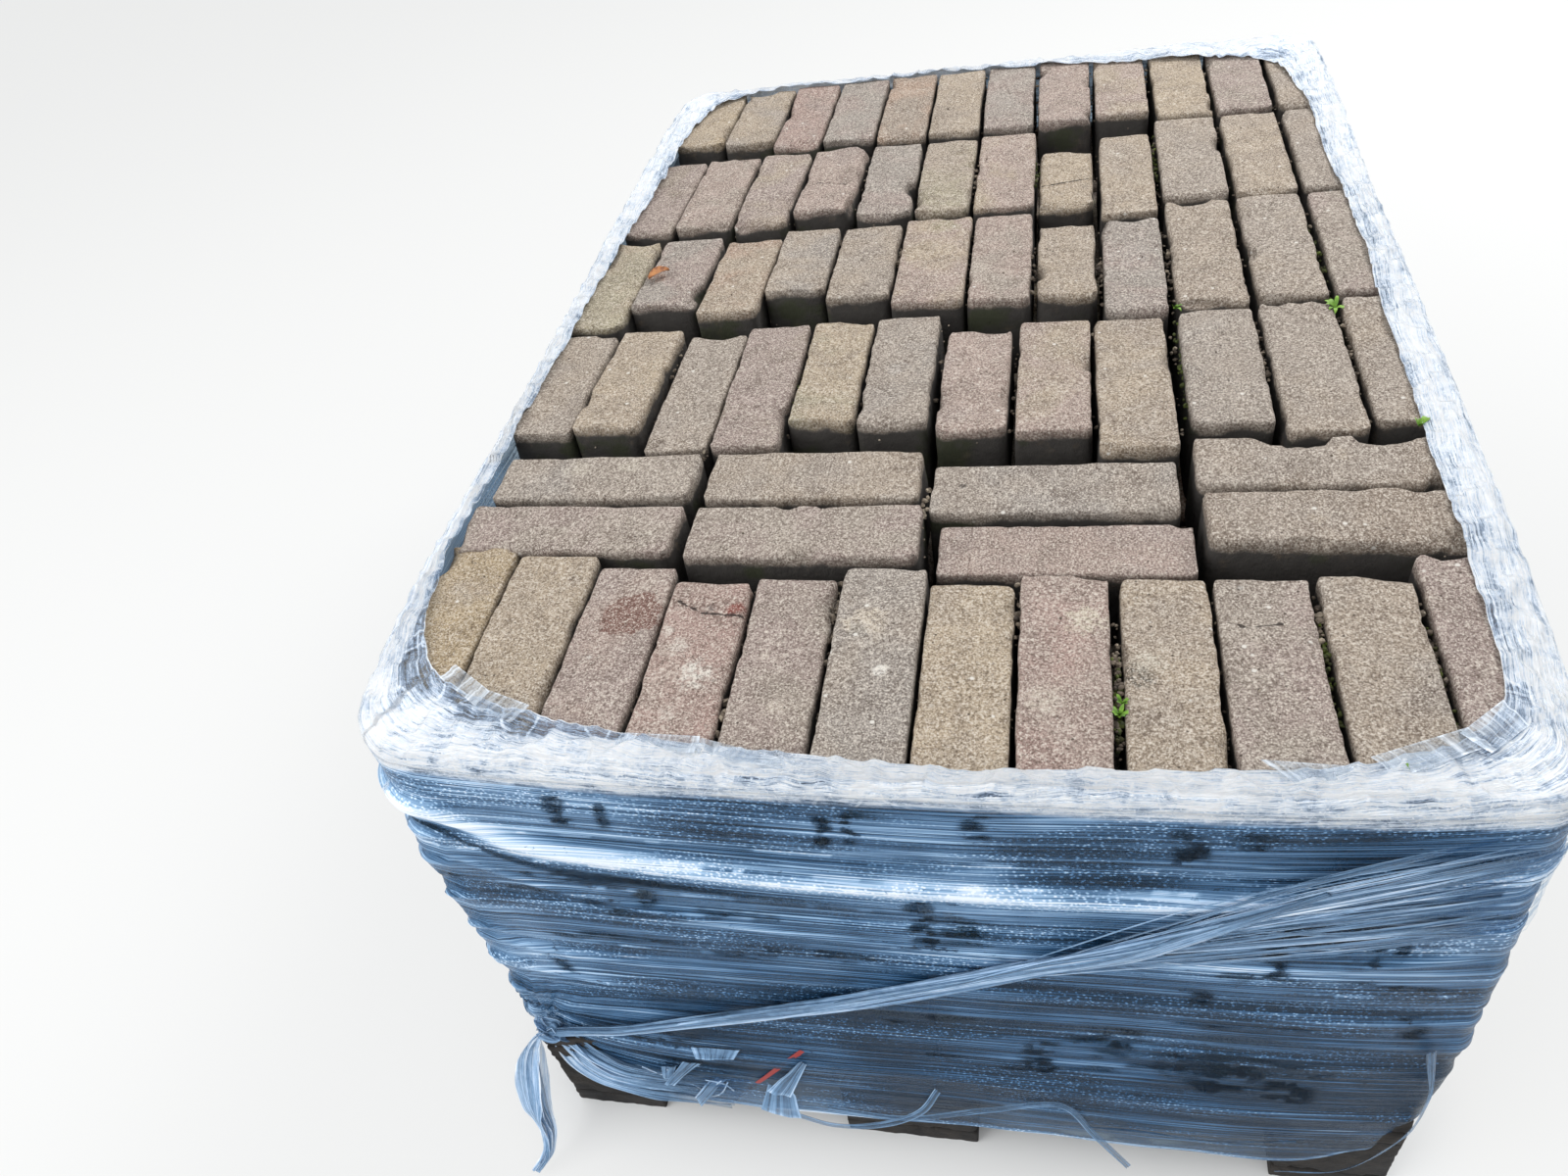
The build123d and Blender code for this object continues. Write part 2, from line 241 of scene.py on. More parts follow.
class Nodes:
    """A short way to write a material's nodes."""

    def __init__(self, name):
        self.material = bpy.data.materials.new(name)
        self.material.use_nodes = True
        self.tree = self.material.node_tree
        self.tree.nodes.clear()
        self.out = self.tree.nodes.new("ShaderNodeOutputMaterial")

    def put(self, socket, value):
        if isinstance(value, Value):
            value = value.socket
        if isinstance(value, bpy.types.Node):
            value = value.outputs[0]
        if isinstance(value, bpy.types.NodeSocket):
            self.tree.links.new(value, socket)
        elif socket.type == "RGBA" and len(value) == 3:
            socket.default_value = (*value, 1)
        else:
            socket.default_value = value

    def add(self, kind, inputs=None, **settings):
        node = self.tree.nodes.new(kind)
        for key, value in settings.items():
            setattr(node, key, value)
        for key, value in (inputs or {}).items():
            self.put(node.inputs[key], value)
        return node

    def value(self, kind, inputs, output=0, **settings):
        return Value(self, self.add(kind, inputs, **settings).outputs[output])

    def attribute(self, name, part="Fac"):
        return Value(self, self.add("ShaderNodeAttribute", attribute_name=name).outputs[part])

    def place(self):
        return self.add("ShaderNodeTexCoord").outputs["Object"]

    def math(self, operation, a, b=0.0, c=0.0, clamp=False):
        return self.value("ShaderNodeMath", {0: a, 1: b, 2: c}, operation=operation, use_clamp=clamp)

    def vector(self, operation, a, b=(0, 0, 0)):
        node = self.add("ShaderNodeVectorMath", {0: a, 1: b}, operation=operation)
        number = operation in ("DISTANCE", "LENGTH", "DOT_PRODUCT")
        return Value(self, node.outputs["Value" if number else "Vector"])

    def part(self, vector, k):
        return self.value("ShaderNodeSeparateXYZ", {0: vector}, k)

    def channel(self, color, k):
        return self.value("ShaderNodeSeparateColor", {0: color}, k)

    def noise(self, vector, scale=1.0, detail=2.0, roughness=0.5, distortion=0.0):
        return self.value("ShaderNodeTexNoise", {
            "Vector": vector, "Scale": scale, "Detail": detail, "Roughness": roughness,
            "Distortion": distortion,
        }, "Fac")

    def streaks(self, flow, scale, detail, roughness=0.5, distortion=0.0):
        """Noise that is drawn out along the flow."""
        return self.noise(self.vector("MULTIPLY", flow, (*scale, 0)), 1, detail, roughness, distortion)

    def spots(self, vector, scale=1.0):
        return self.add("ShaderNodeTexVoronoi", {"Vector": vector, "Scale": scale}).outputs

    def spot(self, vector, scale):
        """The distance to the middle of the nearest spot."""
        return Value(self, self.spots(vector, scale)["Distance"])

    def spot_edge(self, vector, scale):
        inputs = {"Vector": vector, "Scale": scale}
        return self.value("ShaderNodeTexVoronoi", inputs, "Distance", feature="DISTANCE_TO_EDGE")

    def mix(self, factor, a, b, kind="MIX"):
        inputs = {"Factor": factor, 6: a, 7: b}
        return self.add("ShaderNodeMix", inputs, data_type="RGBA", blend_type=kind).outputs[2]

    def blend(self, factor, a, b):
        return self.value("ShaderNodeMix", {0: factor, 2: a, 3: b}, data_type="FLOAT")

    def tones(self, value, stops):
        """A colour for each number, by stops of position and tone."""
        node = self.add("ShaderNodeValToRGB", {"Fac": value})
        elements = node.color_ramp.elements
        while len(elements) < len(stops):
            elements.new(0.5)
        for element, (position, tone) in zip(elements, stops):
            element.position = position
            element.color = (*tone, 1)
        return node.outputs["Color"]

    def layers(self, color, layers):
        """Lays tones over a colour. layers: a number, where it starts and ends to show, strength, tone."""
        for value, a, b, strength, tone in layers:
            color = self.mix(value.steps(a, b, 0.0, strength), color, tone)
        return color

    def body(self, color, roughness, specular=0.5, tint=(1, 1, 1), height=None, strength=0.5, depth=0.001):
        node = self.add("ShaderNodeBsdfPrincipled", {
            "Base Color": color, "Roughness": roughness, "Specular IOR Level": specular,
            "Specular Tint": tint,
        })
        if height is not None:
            bump = self.add("ShaderNodeBump", {"Height": height, "Strength": strength, "Distance": depth})
            self.put(node.inputs["Normal"], bump)
        return node

    def over(self, factor, under, shader):
        return self.add("ShaderNodeMixShader", {0: factor, 1: under, 2: shader})

    def surface(self, shader):
        self.put(self.out.inputs["Surface"], shader)
        return self.material


# The outline of the film, followed counter-clockwise from the front left corner.
# The way round it in metres is called along, and heights are measured from the top of the load.
WIDE, DEEP = 0.8200, 1.1800
SIDE_LENGTHS = (WIDE, DEEP, WIDE, DEEP)
ROUND = WIDE * 2 + DEEP * 2
CORNERS_AT = (0.0, WIDE, WIDE + DEEP, 2 * WIDE + DEEP)
HALF_TURN = 0.012
FILM_FOOT = -0.4580

# The ways into the load from each corner, and the way along the side that starts there.
INWARDS = ((1, 1), (-1, 1), (-1, -1), (1, -1))
SIDE_WAYS = ((1, 0), (0, 1), (-1, 0), (0, -1))

# How far the film stands outside the bricks on each side, by height.
LEFT_SIDE = [
    (-0.46, -0.020), (-0.43, -0.010), (-0.41, -0.002), (-0.34, 0.002), (-0.27, 0.004), (-0.2, 0.003),
    (-0.13, 0.004), (-0.09, 0.004), (-0.05, 0.008), (0.0, 0.014), (0.02, 0.014),
]
RIGHT_SIDE = [
    (-0.46, -0.030), (-0.43, -0.022), (-0.40, -0.012), (-0.33, -0.002), (-0.25, -0.003), (-0.17, -0.004),
    (-0.08, -0.004), (0.0, 0.004), (0.02, 0.004),
]
FRONT_SIDE = [
    (-0.46, 0.018), (-0.43, 0.018), (-0.41, 0.016), (-0.35, 0.006), (-0.25, 0.004), (-0.17, 0.005),
    (-0.08, 0.004), (0.0, 0.005), (0.02, 0.005),
]
# Radius of the film round the corners: front left, front right, back right, back left.
CORNER_RADIUS = [
    [(-0.46, 0.020), (-0.35, 0.014), (-0.12, 0.016), (-0.03, 0.040), (0.02, 0.048)],
    [(-0.46, 0.020), (-0.35, 0.014), (-0.12, 0.016), (-0.03, 0.028), (0.02, 0.034)],
    [(-0.46, 0.020), (-0.35, 0.014), (-0.12, 0.016), (-0.03, 0.028), (0.02, 0.034)],
    [(-0.46, 0.020), (-0.35, 0.014), (-0.12, 0.016), (-0.03, 0.024), (0.02, 0.030)],
]

# How far the film draws each corner inwards, and how far along the sides that reaches.
CORNER_PULL = ((0.016, 0.080), (0.009, 0.070), (0.007, 0.060), (0.007, 0.060))


def film_corners(height):
    """Where the film's sides would meet at each of the four corners, by height."""
    apart = between(height, FRONT_SIDE)
    left, right = LEFT - between(height, LEFT_SIDE), LEFT + LOAD_WIDE + between(height, RIGHT_SIDE)
    front, back = FRONT - apart, FRONT + LOAD_DEEP + apart
    return (left, front), (right, front), (right, back), (left, back)


def drawn_in(pull, reach, dx, dy):
    """How far a corner is drawn inwards at a distance from it."""
    return pull * np.exp(-((np.hypot(dx, dy) / reach) ** 1.3))


def outline(height, columns):
    """Points and outward directions of the film's outline at each height (rows) and column.
    columns holds (side, share): sides 0 to 3 are straight, and 4 to 7 are the corners."""
    height = np.asarray(height, float)
    corners = film_corners(height)
    radius = [between(height, table) for table in CORNER_RADIUS]
    x, y, nx, ny = (np.zeros((len(height), len(columns))) for _ in range(4))
    for c, (side, share) in enumerate(columns):
        k, after = side % 4, (side + 1) % 4
        (ax, ay), (bx, by), (dx, dy), r = corners[k], corners[after], SIDE_WAYS[k], radius[k]
        if side < 4:
            ax, ay = ax + dx * r, ay + dy * r
            bx, by = bx - dx * radius[after], by - dy * radius[after]
            x[:, c], y[:, c], nx[:, c], ny[:, c] = ax + (bx - ax) * share, ay + (by - ay) * share, dy, -dx
        else:
            inx, iny = INWARDS[k]
            angle = math.pi + k * math.pi / 2 + share * math.pi / 2
            nx[:, c], ny[:, c] = math.cos(angle), math.sin(angle)
            x[:, c], y[:, c] = ax + inx * r + r * math.cos(angle), ay + iny * r + r * math.sin(angle)
    # The film draws each corner of the load inwards.
    for (cx, cy), (inx, iny), (pull, reach) in zip(corners, INWARDS, CORNER_PULL):
        amount = drawn_in(pull, reach, x - cx[:, None], y - cy[:, None])
        x += amount * inx
        y += amount * iny
    return x, y, nx, ny


def behind_film(p):
    """Draws points of the load that would stand out of the film back behind it."""
    p = p.copy()
    corner_gap, side_gap, near_corner = 0.005, 0.004, 0.2
    height = np.clip(p[:, 2] - TOP, -0.41, 0.0)
    corners = film_corners(height)
    for (cx, cy), (inx, iny), (pull, reach), table in zip(corners, INWARDS, CORNER_PULL, CORNER_RADIUS):
        dx, dy = (p[:, 0] - cx) * inx, (p[:, 1] - cy) * iny
        amount = drawn_in(pull, reach, dx, dy) + corner_gap
        r = between(height, table)
        dx, dy = np.maximum(dx, amount), np.maximum(dy, amount)
        inner = amount + r
        ox, oy = inner - dx, inner - dy
        far = np.hypot(ox, oy)
        over = (ox > 0) & (oy > 0) & (far > r)
        dx = np.where(over, inner - ox * r / np.maximum(far, TINY), dx)
        dy = np.where(over, inner - oy * r / np.maximum(far, TINY), dy)
        near = (np.abs(p[:, 0] - cx) < near_corner) & (np.abs(p[:, 1] - cy) < near_corner)
        p[:, 0] = np.where(near, cx + dx * inx, p[:, 0])
        p[:, 1] = np.where(near, cy + dy * iny, p[:, 1])
    (left, front), _, (right, back), _ = corners
    p[:, 0] = np.clip(p[:, 0], left + side_gap, right - side_gap)
    p[:, 1] = np.clip(p[:, 1], front + side_gap, back - side_gap)
    return p


# Bricks.
# Tones of the brick faces.
TONES = {
    "buff": srgb(188, 170, 147),
    "ochre": srgb(196, 177, 150),
    "yellow": srgb(190, 168, 132),
    "tan": srgb(180, 164, 146),
    "taupe": srgb(175, 162, 149),
    "brown": srgb(168, 152, 136),
    "grey": srgb(170, 161, 152),
    "plum": srgb(174, 155, 147),
    "rosy": srgb(184, 162, 151),
    "red": srgb(185, 155, 145),
    "orange": srgb(190, 160, 137),
    "olive": srgb(178, 168, 140),
}

# The bricks of the top layer, row by row, in millimetres of the load's own measures:
# tone, second tone, left, right, near, far, rise of the near end, rise of the far end, turn in degrees, wear.
TOP_BRICKS = {
    "a": [
        ("yellow", "buff", 0, 66, 15, 236, 1, -1, 0.4, 1.1),
        ("buff", "ochre", 68, 141, 12, 222, 3, 0, 0.0, 1.0),
        ("plum", "rosy", 143, 210, 8, 208, 2, -1, -0.5, 0.9),
        ("red", "rosy", 212, 278, 4, 191, 3, 0, 0.0, 1.2),
        ("plum", "taupe", 280, 345, 4, 193, 3, 1, 0.4, 1.1),
        ("grey", "taupe", 347, 412, 6, 205, 4, 2, 0.0, 0.9),
        ("ochre", "buff", 414, 478, 4, 189, 2, -1, 0.0, 0.9),
        ("rosy", "red", 480, 544, 5, 199, 3, 0, 0.0, 1.0),
        ("buff", "tan", 550, 613, 4, 197, 1, -2, 0.0, 1.1),
        ("taupe", "plum", 615, 680, 4, 195, 3, 0, 0.3, 0.9),
        ("tan", "grey", 683, 746, 6, 197, 2, 1, 0.0, 1.1),
        ("plum", "brown", 749, 812, 8, 218, 0, 2, 0.3, 0.9),
    ],
    "b": [
        ("plum", "taupe", 2, 200, 222, 284, 2, 1, -1.6, 1.0),
        ("taupe", "plum", 211, 403, 212, 278, 4, 3, 0.0, 1.0),
        ("rosy", "plum", 415, 608, 202, 262, -6, -8, 0.0, 0.8),
        ("brown", "taupe", 613, 812, 223, 289, 6, 4, -1.0, 1.5),
        ("taupe", "grey", 12, 200, 291, 354, 1, 0, 0.0, 1.0),
        ("tan", "taupe", 211, 398, 285, 350, 2, 2, -0.8, 1.0),
        ("grey", "taupe", 405, 600, 270, 334, -3, -4, 0.0, 0.9),
        ("taupe", "brown", 611, 812, 291, 356, 3, 2, -0.8, 1.3),
    ],
    "c": [
        ("taupe", "tan", -2, 60, 385, 563, 2, -2, 0.0, 1.0),
        ("buff", "ochre", 62, 129, 386, 565, 5, -1, -1.5, 1.0),
        ("taupe", "tan", 138, 200, 360, 556, -3, -5, -0.5, 1.0),
        ("plum", "brown", 202, 266, 358, 562, 3, -1, 0.0, 1.1),
        ("ochre", "olive", 268, 330, 387, 567, 5, -2, 0.0, 1.3),
        ("taupe", "grey", 332, 396, 380, 567, 6, 0, 0.0, 1.0),
        ("rosy", "plum", 402, 465, 370, 540, 4, -3, 0.0, 1.2),
        ("rosy", "buff", 470, 536, 367, 548, 4, -2, 0.0, 1.0),
        ("buff", "brown", 538, 603, 341, 546, 4, -2, 0.6, 1.0),
        ("taupe", "grey", 612, 680, 372, 553, 3, 0, 0.0, 1.3),
        ("taupe", "tan", 684, 748, 359, 556, 2, 1, 0.5, 1.0),
        ("tan", "taupe", 752, 814, 370, 560, 1, 2, 0.0, 1.0),
    ],
    "d": [
        ("olive", "ochre", -2, 60, 568, 762, 1, -1, -0.5, 1.7),
        ("plum", "grey", 60, 133, 602, 762, 4, -3, -1.0, 1.3),
        ("buff", "orange", 138, 204, 582, 748, 5, -2, -0.5, 1.2),
        ("tan", "grey", 205, 270, 614, 762, 6, -1, 0.0, 1.0),
        ("tan", "taupe", 272, 340, 596, 762, 6, -1, 0.0, 1.3),
        ("rosy", "ochre", 342, 415, 580, 766, 6, 0, 0.0, 1.0),
        ("rosy", "taupe", 417, 480, 578, 764, 5, -1, 0.0, 1.0),
        ("buff", "tan", 484, 544, 580, 738, 4, -3, 0.0, 1.4),
        ("grey", "plum", 548, 608, 550, 738, 3, -1, 0.0, 1.2),
        ("tan", "brown", 613, 679, 557, 765, 3, 1, 0.0, 1.4),
        ("taupe", "tan", 684, 747, 562, 764, 2, 2, 0.4, 1.2),
        ("taupe", "plum", 752, 814, 567, 764, 2, 1, 0.0, 1.0),
    ],
    "e": [
        ("plum", "brown", 2, 66, 774, 966, 0, -3, -1.0, 1.0),
        ("rosy", "taupe", 68, 136, 777, 968, 3, -2, -0.8, 1.0),
        ("plum", "buff", 139, 204, 774, 968, 3, -1, -1.5, 1.7),
        ("rosy", "plum", 206, 276, 790, 972, 5, 0, -0.8, 1.9),
        ("grey", "plum", 281, 345, 774, 966, 4, 0, 0.0, 1.4),
        ("tan", "olive", 347, 410, 774, 966, 3, -2, 0.0, 1.2),
        ("rosy", "ochre", 413, 480, 769, 966, 4, 0, 0.0, 1.0),
        ("buff", "ochre", 482, 544, 777, 925, -4, -7, 0.0, 1.7),
        ("buff", "tan", 549, 608, 743, 942, 2, -2, 0.0, 1.1),
        ("taupe", "tan", 613, 680, 769, 967, 3, 1, 0.0, 1.0),
        ("tan", "buff", 685, 747, 769, 967, 2, 1, 0.3, 1.0),
        ("taupe", "brown", 752, 814, 772, 968, 1, 0, 0.0, 1.0),
    ],
    "f": [
        ("ochre", "yellow", 12, 78, 1008, 1176, 1, -3, -1.0, 1.0),
        ("buff", "taupe", 81, 148, 1000, 1176, 2, -2, -0.8, 1.0),
        ("red", "plum", 150, 212, 978, 1178, 3, -1, -0.8, 1.1),
        ("grey", "plum", 214, 280, 982, 1178, 3, 0, -0.4, 1.0),
        ("orange", "brown", 283, 345, 972, 1175, 4, 1, 0.0, 0.9),
        ("buff", "tan", 347, 410, 974, 1175, 4, 0, 0.0, 1.0),
        ("plum", "grey", 413, 475, 977, 1178, 4, 0, 0.0, 0.9),
        ("rosy", "plum", 479, 543, 980, 1178, 5, 1, 0.0, 0.9),
        ("rosy", "buff", 547, 610, 989, 1176, 3, -1, 0.0, 1.0),
        ("ochre", "buff", 616, 680, 974, 1176, 2, 0, 0.6, 1.1),
        ("plum", "taupe", 684, 747, 976, 1176, 2, -1, 0.0, 1.0),
        ("tan", "taupe", 752, 814, 976, 1176, 1, 0, 0.0, 1.0),
    ],
}

# Places of a brick's mesh in from its edges and down from its top, for the top layer and for the lower ones.
FINE_MESH = (0.0, 0.002, 0.0045, 0.008), (0, 0.0016, 0.004, 0.0075, 0.012, 0.018, 0.028, 0.044, 0.076, 0.082)
COARSE_MESH = (0.0, 0.003, 0.008), (0, 0.003, 0.009, 0.020, 0.046, 0.082)


def worn_brick(width, length, near_rise, far_rise, wear, seed, step, chips, mesh):
    """A worn brick along y with its underside at z = 0: points, quads and depth below its top."""
    rng = np.random.default_rng(seed)
    edge, levels = mesh
    xs, ys = stations(width, step * 2.6, edge), stations(length, step, edge)
    zs = LAYER - np.array(levels)[::-1]
    where, quads = lattice_box((len(xs), len(ys), len(zs)))
    half, centre = np.array([width, length, LAYER]) / 2, np.array([0, 0, LAYER / 2])
    local = np.stack([xs[where[:, 0]] - half[0], ys[where[:, 1]] - half[1], zs[where[:, 2]]], 1)
    p = local.copy()
    s = seed * 1.37
    # The corners in plan are rounder than the long edges.
    radius = 0.0026 * wear * (0.5 + 1.4 * noise(p[:, 0] * 30 + s, p[:, 1] * 30, p[:, 2] * 20 + s))
    corner = 0.0080 * wear * (0.5 + 0.9 * rng.random(4))
    which = (p[:, 0] > 0).astype(int) + 2 * (p[:, 1] > 0)
    p[:, :2] = rounded(p[:, :2], half[:2], corner[which])
    p = rounded(p - centre, half, radius) + centre
    # The sides are uneven, always inwards.
    sx, sy = np.sign(p[:, 0]), np.sign(p[:, 1])
    edge_x = ramp(np.abs(p[:, 0]), half[0] - 0.012, half[0])
    edge_y = ramp(np.abs(p[:, 1]), half[1] - 0.012, half[1])
    near_top = ramp(p[:, 2], LAYER - 0.030, LAYER - 0.002)
    crumble = ramp(noise(p[:, 1] * 34 + s, sx * 9.0, s + 3), 0.45, 0.75)
    wave = noise(p[:, 1] * 16 + s, p[:, 2] * 20, sx * 3 + s)
    nick = rough(p[:, 1] * 130 + s, p[:, 2] * 90, sx * 5 + s, 2)
    p[:, 0] -= sx * edge_x * wear * (0.0010 * wave + (0.0007 + 0.0022 * crumble) * near_top * nick)
    wave = noise(p[:, 0] * 22 + s, p[:, 2] * 20, sy * 3 + s + 9)
    nick = rough(p[:, 0] * 120 + s, p[:, 2] * 90, sy * 5 + s, 2)
    p[:, 1] -= sy * edge_y * wear * (0.0016 * wave + (0.0008 + 0.0022 * crumble) * near_top * nick)
    # Chips along the top edges.
    for _ in range(int(chips * wear * (0.7 + 0.6 * rng.random()))):
        along = rng.random()
        axis, end = divmod(int(rng.integers(4)), 2)
        other, way = 1 - axis, end * 2 - 1
        size = (0.003 + 0.009 * rng.random() ** 2.5) * min(wear, 1.5)
        at, out = np.full(3, LAYER), np.zeros(3)
        at[axis], at[other] = way * half[axis], (along * 2 - 1) * half[other]
        out[axis], out[other], out[2] = way, rng.normal() * 0.25, 0.5 + rng.random()
        out /= np.linalg.norm(out)
        reach = size * (1.5 + 1.5 * rng.random())
        depth = size * 0.62 * np.maximum(0, 1 - ((p[:, other] - at[other]) / reach) ** 2)
        cut = (p - at) @ out + depth * (0.8 + 0.4 * noise(p[:, 0] * 200 + s, p[:, 1] * 200, p[:, 2] * 200))
        p = p - np.where((depth > 0) & (cut > 0), cut, 0)[:, None] * out
    # A gently uneven top and grainy sides.
    swell = 0.0016 * (rough(p[:, 0] * 22 + s, p[:, 1] * 22, s, 2) - 0.5)
    swell += 0.0007 * (noise(p[:, 0] * 120, p[:, 1] * 120 + s, s) - 0.5)
    p[:, 2] += ramp(p[:, 2], LAYER - 0.02, LAYER) * swell * wear
    grain = 0.0008 * (rough(local[:, 0] * 160 + s, local[:, 1] * 160, local[:, 2] * 160, 2) - 0.5)
    p[:, 0] += grain * edge_x * sx
    p[:, 1] += grain * edge_y * sy
    below = LAYER - p[:, 2]
    share = np.clip(local[:, 1] / length + 0.5, 0, 1)
    p[:, 2] *= 1 + (near_rise * (1 - share) + far_rise * share) / LAYER
    return p, quads, below


# Marks on single bricks, in metres of the load's own measures:
# across, into the load, radius, colour, edge raggedness, strength.
MARKS = [
    (0.185, 0.152, 0.023, srgb(122, 78, 68), 0.25, 0.85),
    (0.268, 0.158, 0.008, srgb(140, 50, 40), 0.5, 0.8),
    (0.249, 0.158, 0.006, srgb(88, 78, 78), 0.6, 0.8),
    (0.252, 0.092, 0.015, srgb(238, 230, 218), 0.9, 1.0),
    (0.233, 0.118, 0.010, srgb(222, 210, 198), 0.9, 0.8),
    (0.240, 0.052, 0.008, srgb(226, 214, 202), 0.9, 0.8),
    (0.222, 0.134, 0.006, srgb(226, 214, 202), 0.9, 0.8),
    (0.370, 0.142, 0.018, srgb(214, 200, 180), 0.6, 0.9),
    (0.366, 0.136, 0.008, srgb(110, 106, 100), 0.9, 0.7),
    (0.386, 0.097, 0.006, srgb(240, 234, 224), 0.5, 1.0),
    (0.388, 0.048, 0.004, srgb(70, 60, 54), 0.5, 0.7),
    (0.316, 0.060, 0.009, srgb(214, 200, 184), 0.9, 0.8),
    (0.300, 0.110, 0.006, srgb(222, 208, 192), 0.9, 0.8),
    (0.527, 0.150, 0.016, srgb(220, 208, 186), 0.9, 0.95),
    (0.500, 0.075, 0.015, srgb(206, 192, 176), 0.9, 0.85),
    (0.560, 0.100, 0.012, srgb(74, 72, 64), 0.7, 0.9),
    (0.568, 0.112, 0.013, srgb(206, 196, 178), 0.8, 0.8),
    (0.632, 0.184, 0.004, srgb(230, 226, 216), 0.6, 0.9),
    (0.165, 0.107, 0.004, srgb(222, 214, 204), 0.6, 0.8),
    (0.148, 0.372, 0.013, srgb(92, 76, 64), 0.5, 0.7),
    (0.085, 0.335, 0.014, srgb(206, 196, 178), 1.0, 0.6),
    (0.135, 0.337, 0.013, srgb(206, 196, 178), 1.0, 0.6),
    (0.431, 0.306, 0.0035, srgb(60, 52, 46), 0.5, 0.9),
    (0.690, 0.250, 0.008, srgb(186, 170, 150), 1.0, 0.6),
    (0.720, 0.330, 0.009, srgb(186, 170, 150), 1.0, 0.6),
    (0.575, 0.660, 0.028, srgb(178, 172, 164), 1.0, 0.5),
    (0.385, 0.745, 0.020, srgb(162, 156, 120), 0.8, 0.6),
    (0.075, 0.670, 0.013, srgb(150, 96, 60), 0.8, 0.5),
    (0.362, 0.470, 0.012, srgb(190, 184, 178), 1.0, 0.5),
]

# Cracks: from, to, half thickness.
CRACKS = [
    ((0.222, 0.166), (0.243, 0.153), 0.0012), ((0.243, 0.153), (0.274, 0.151), 0.0018),
    ((0.618, 0.150), (0.634, 0.144), 0.0008), ((0.634, 0.144), (0.656, 0.148), 0.0008),
    ((0.226, 0.868), (0.262, 0.858), 0.0010), ((0.488, 0.832), (0.540, 0.842), 0.0014),
]


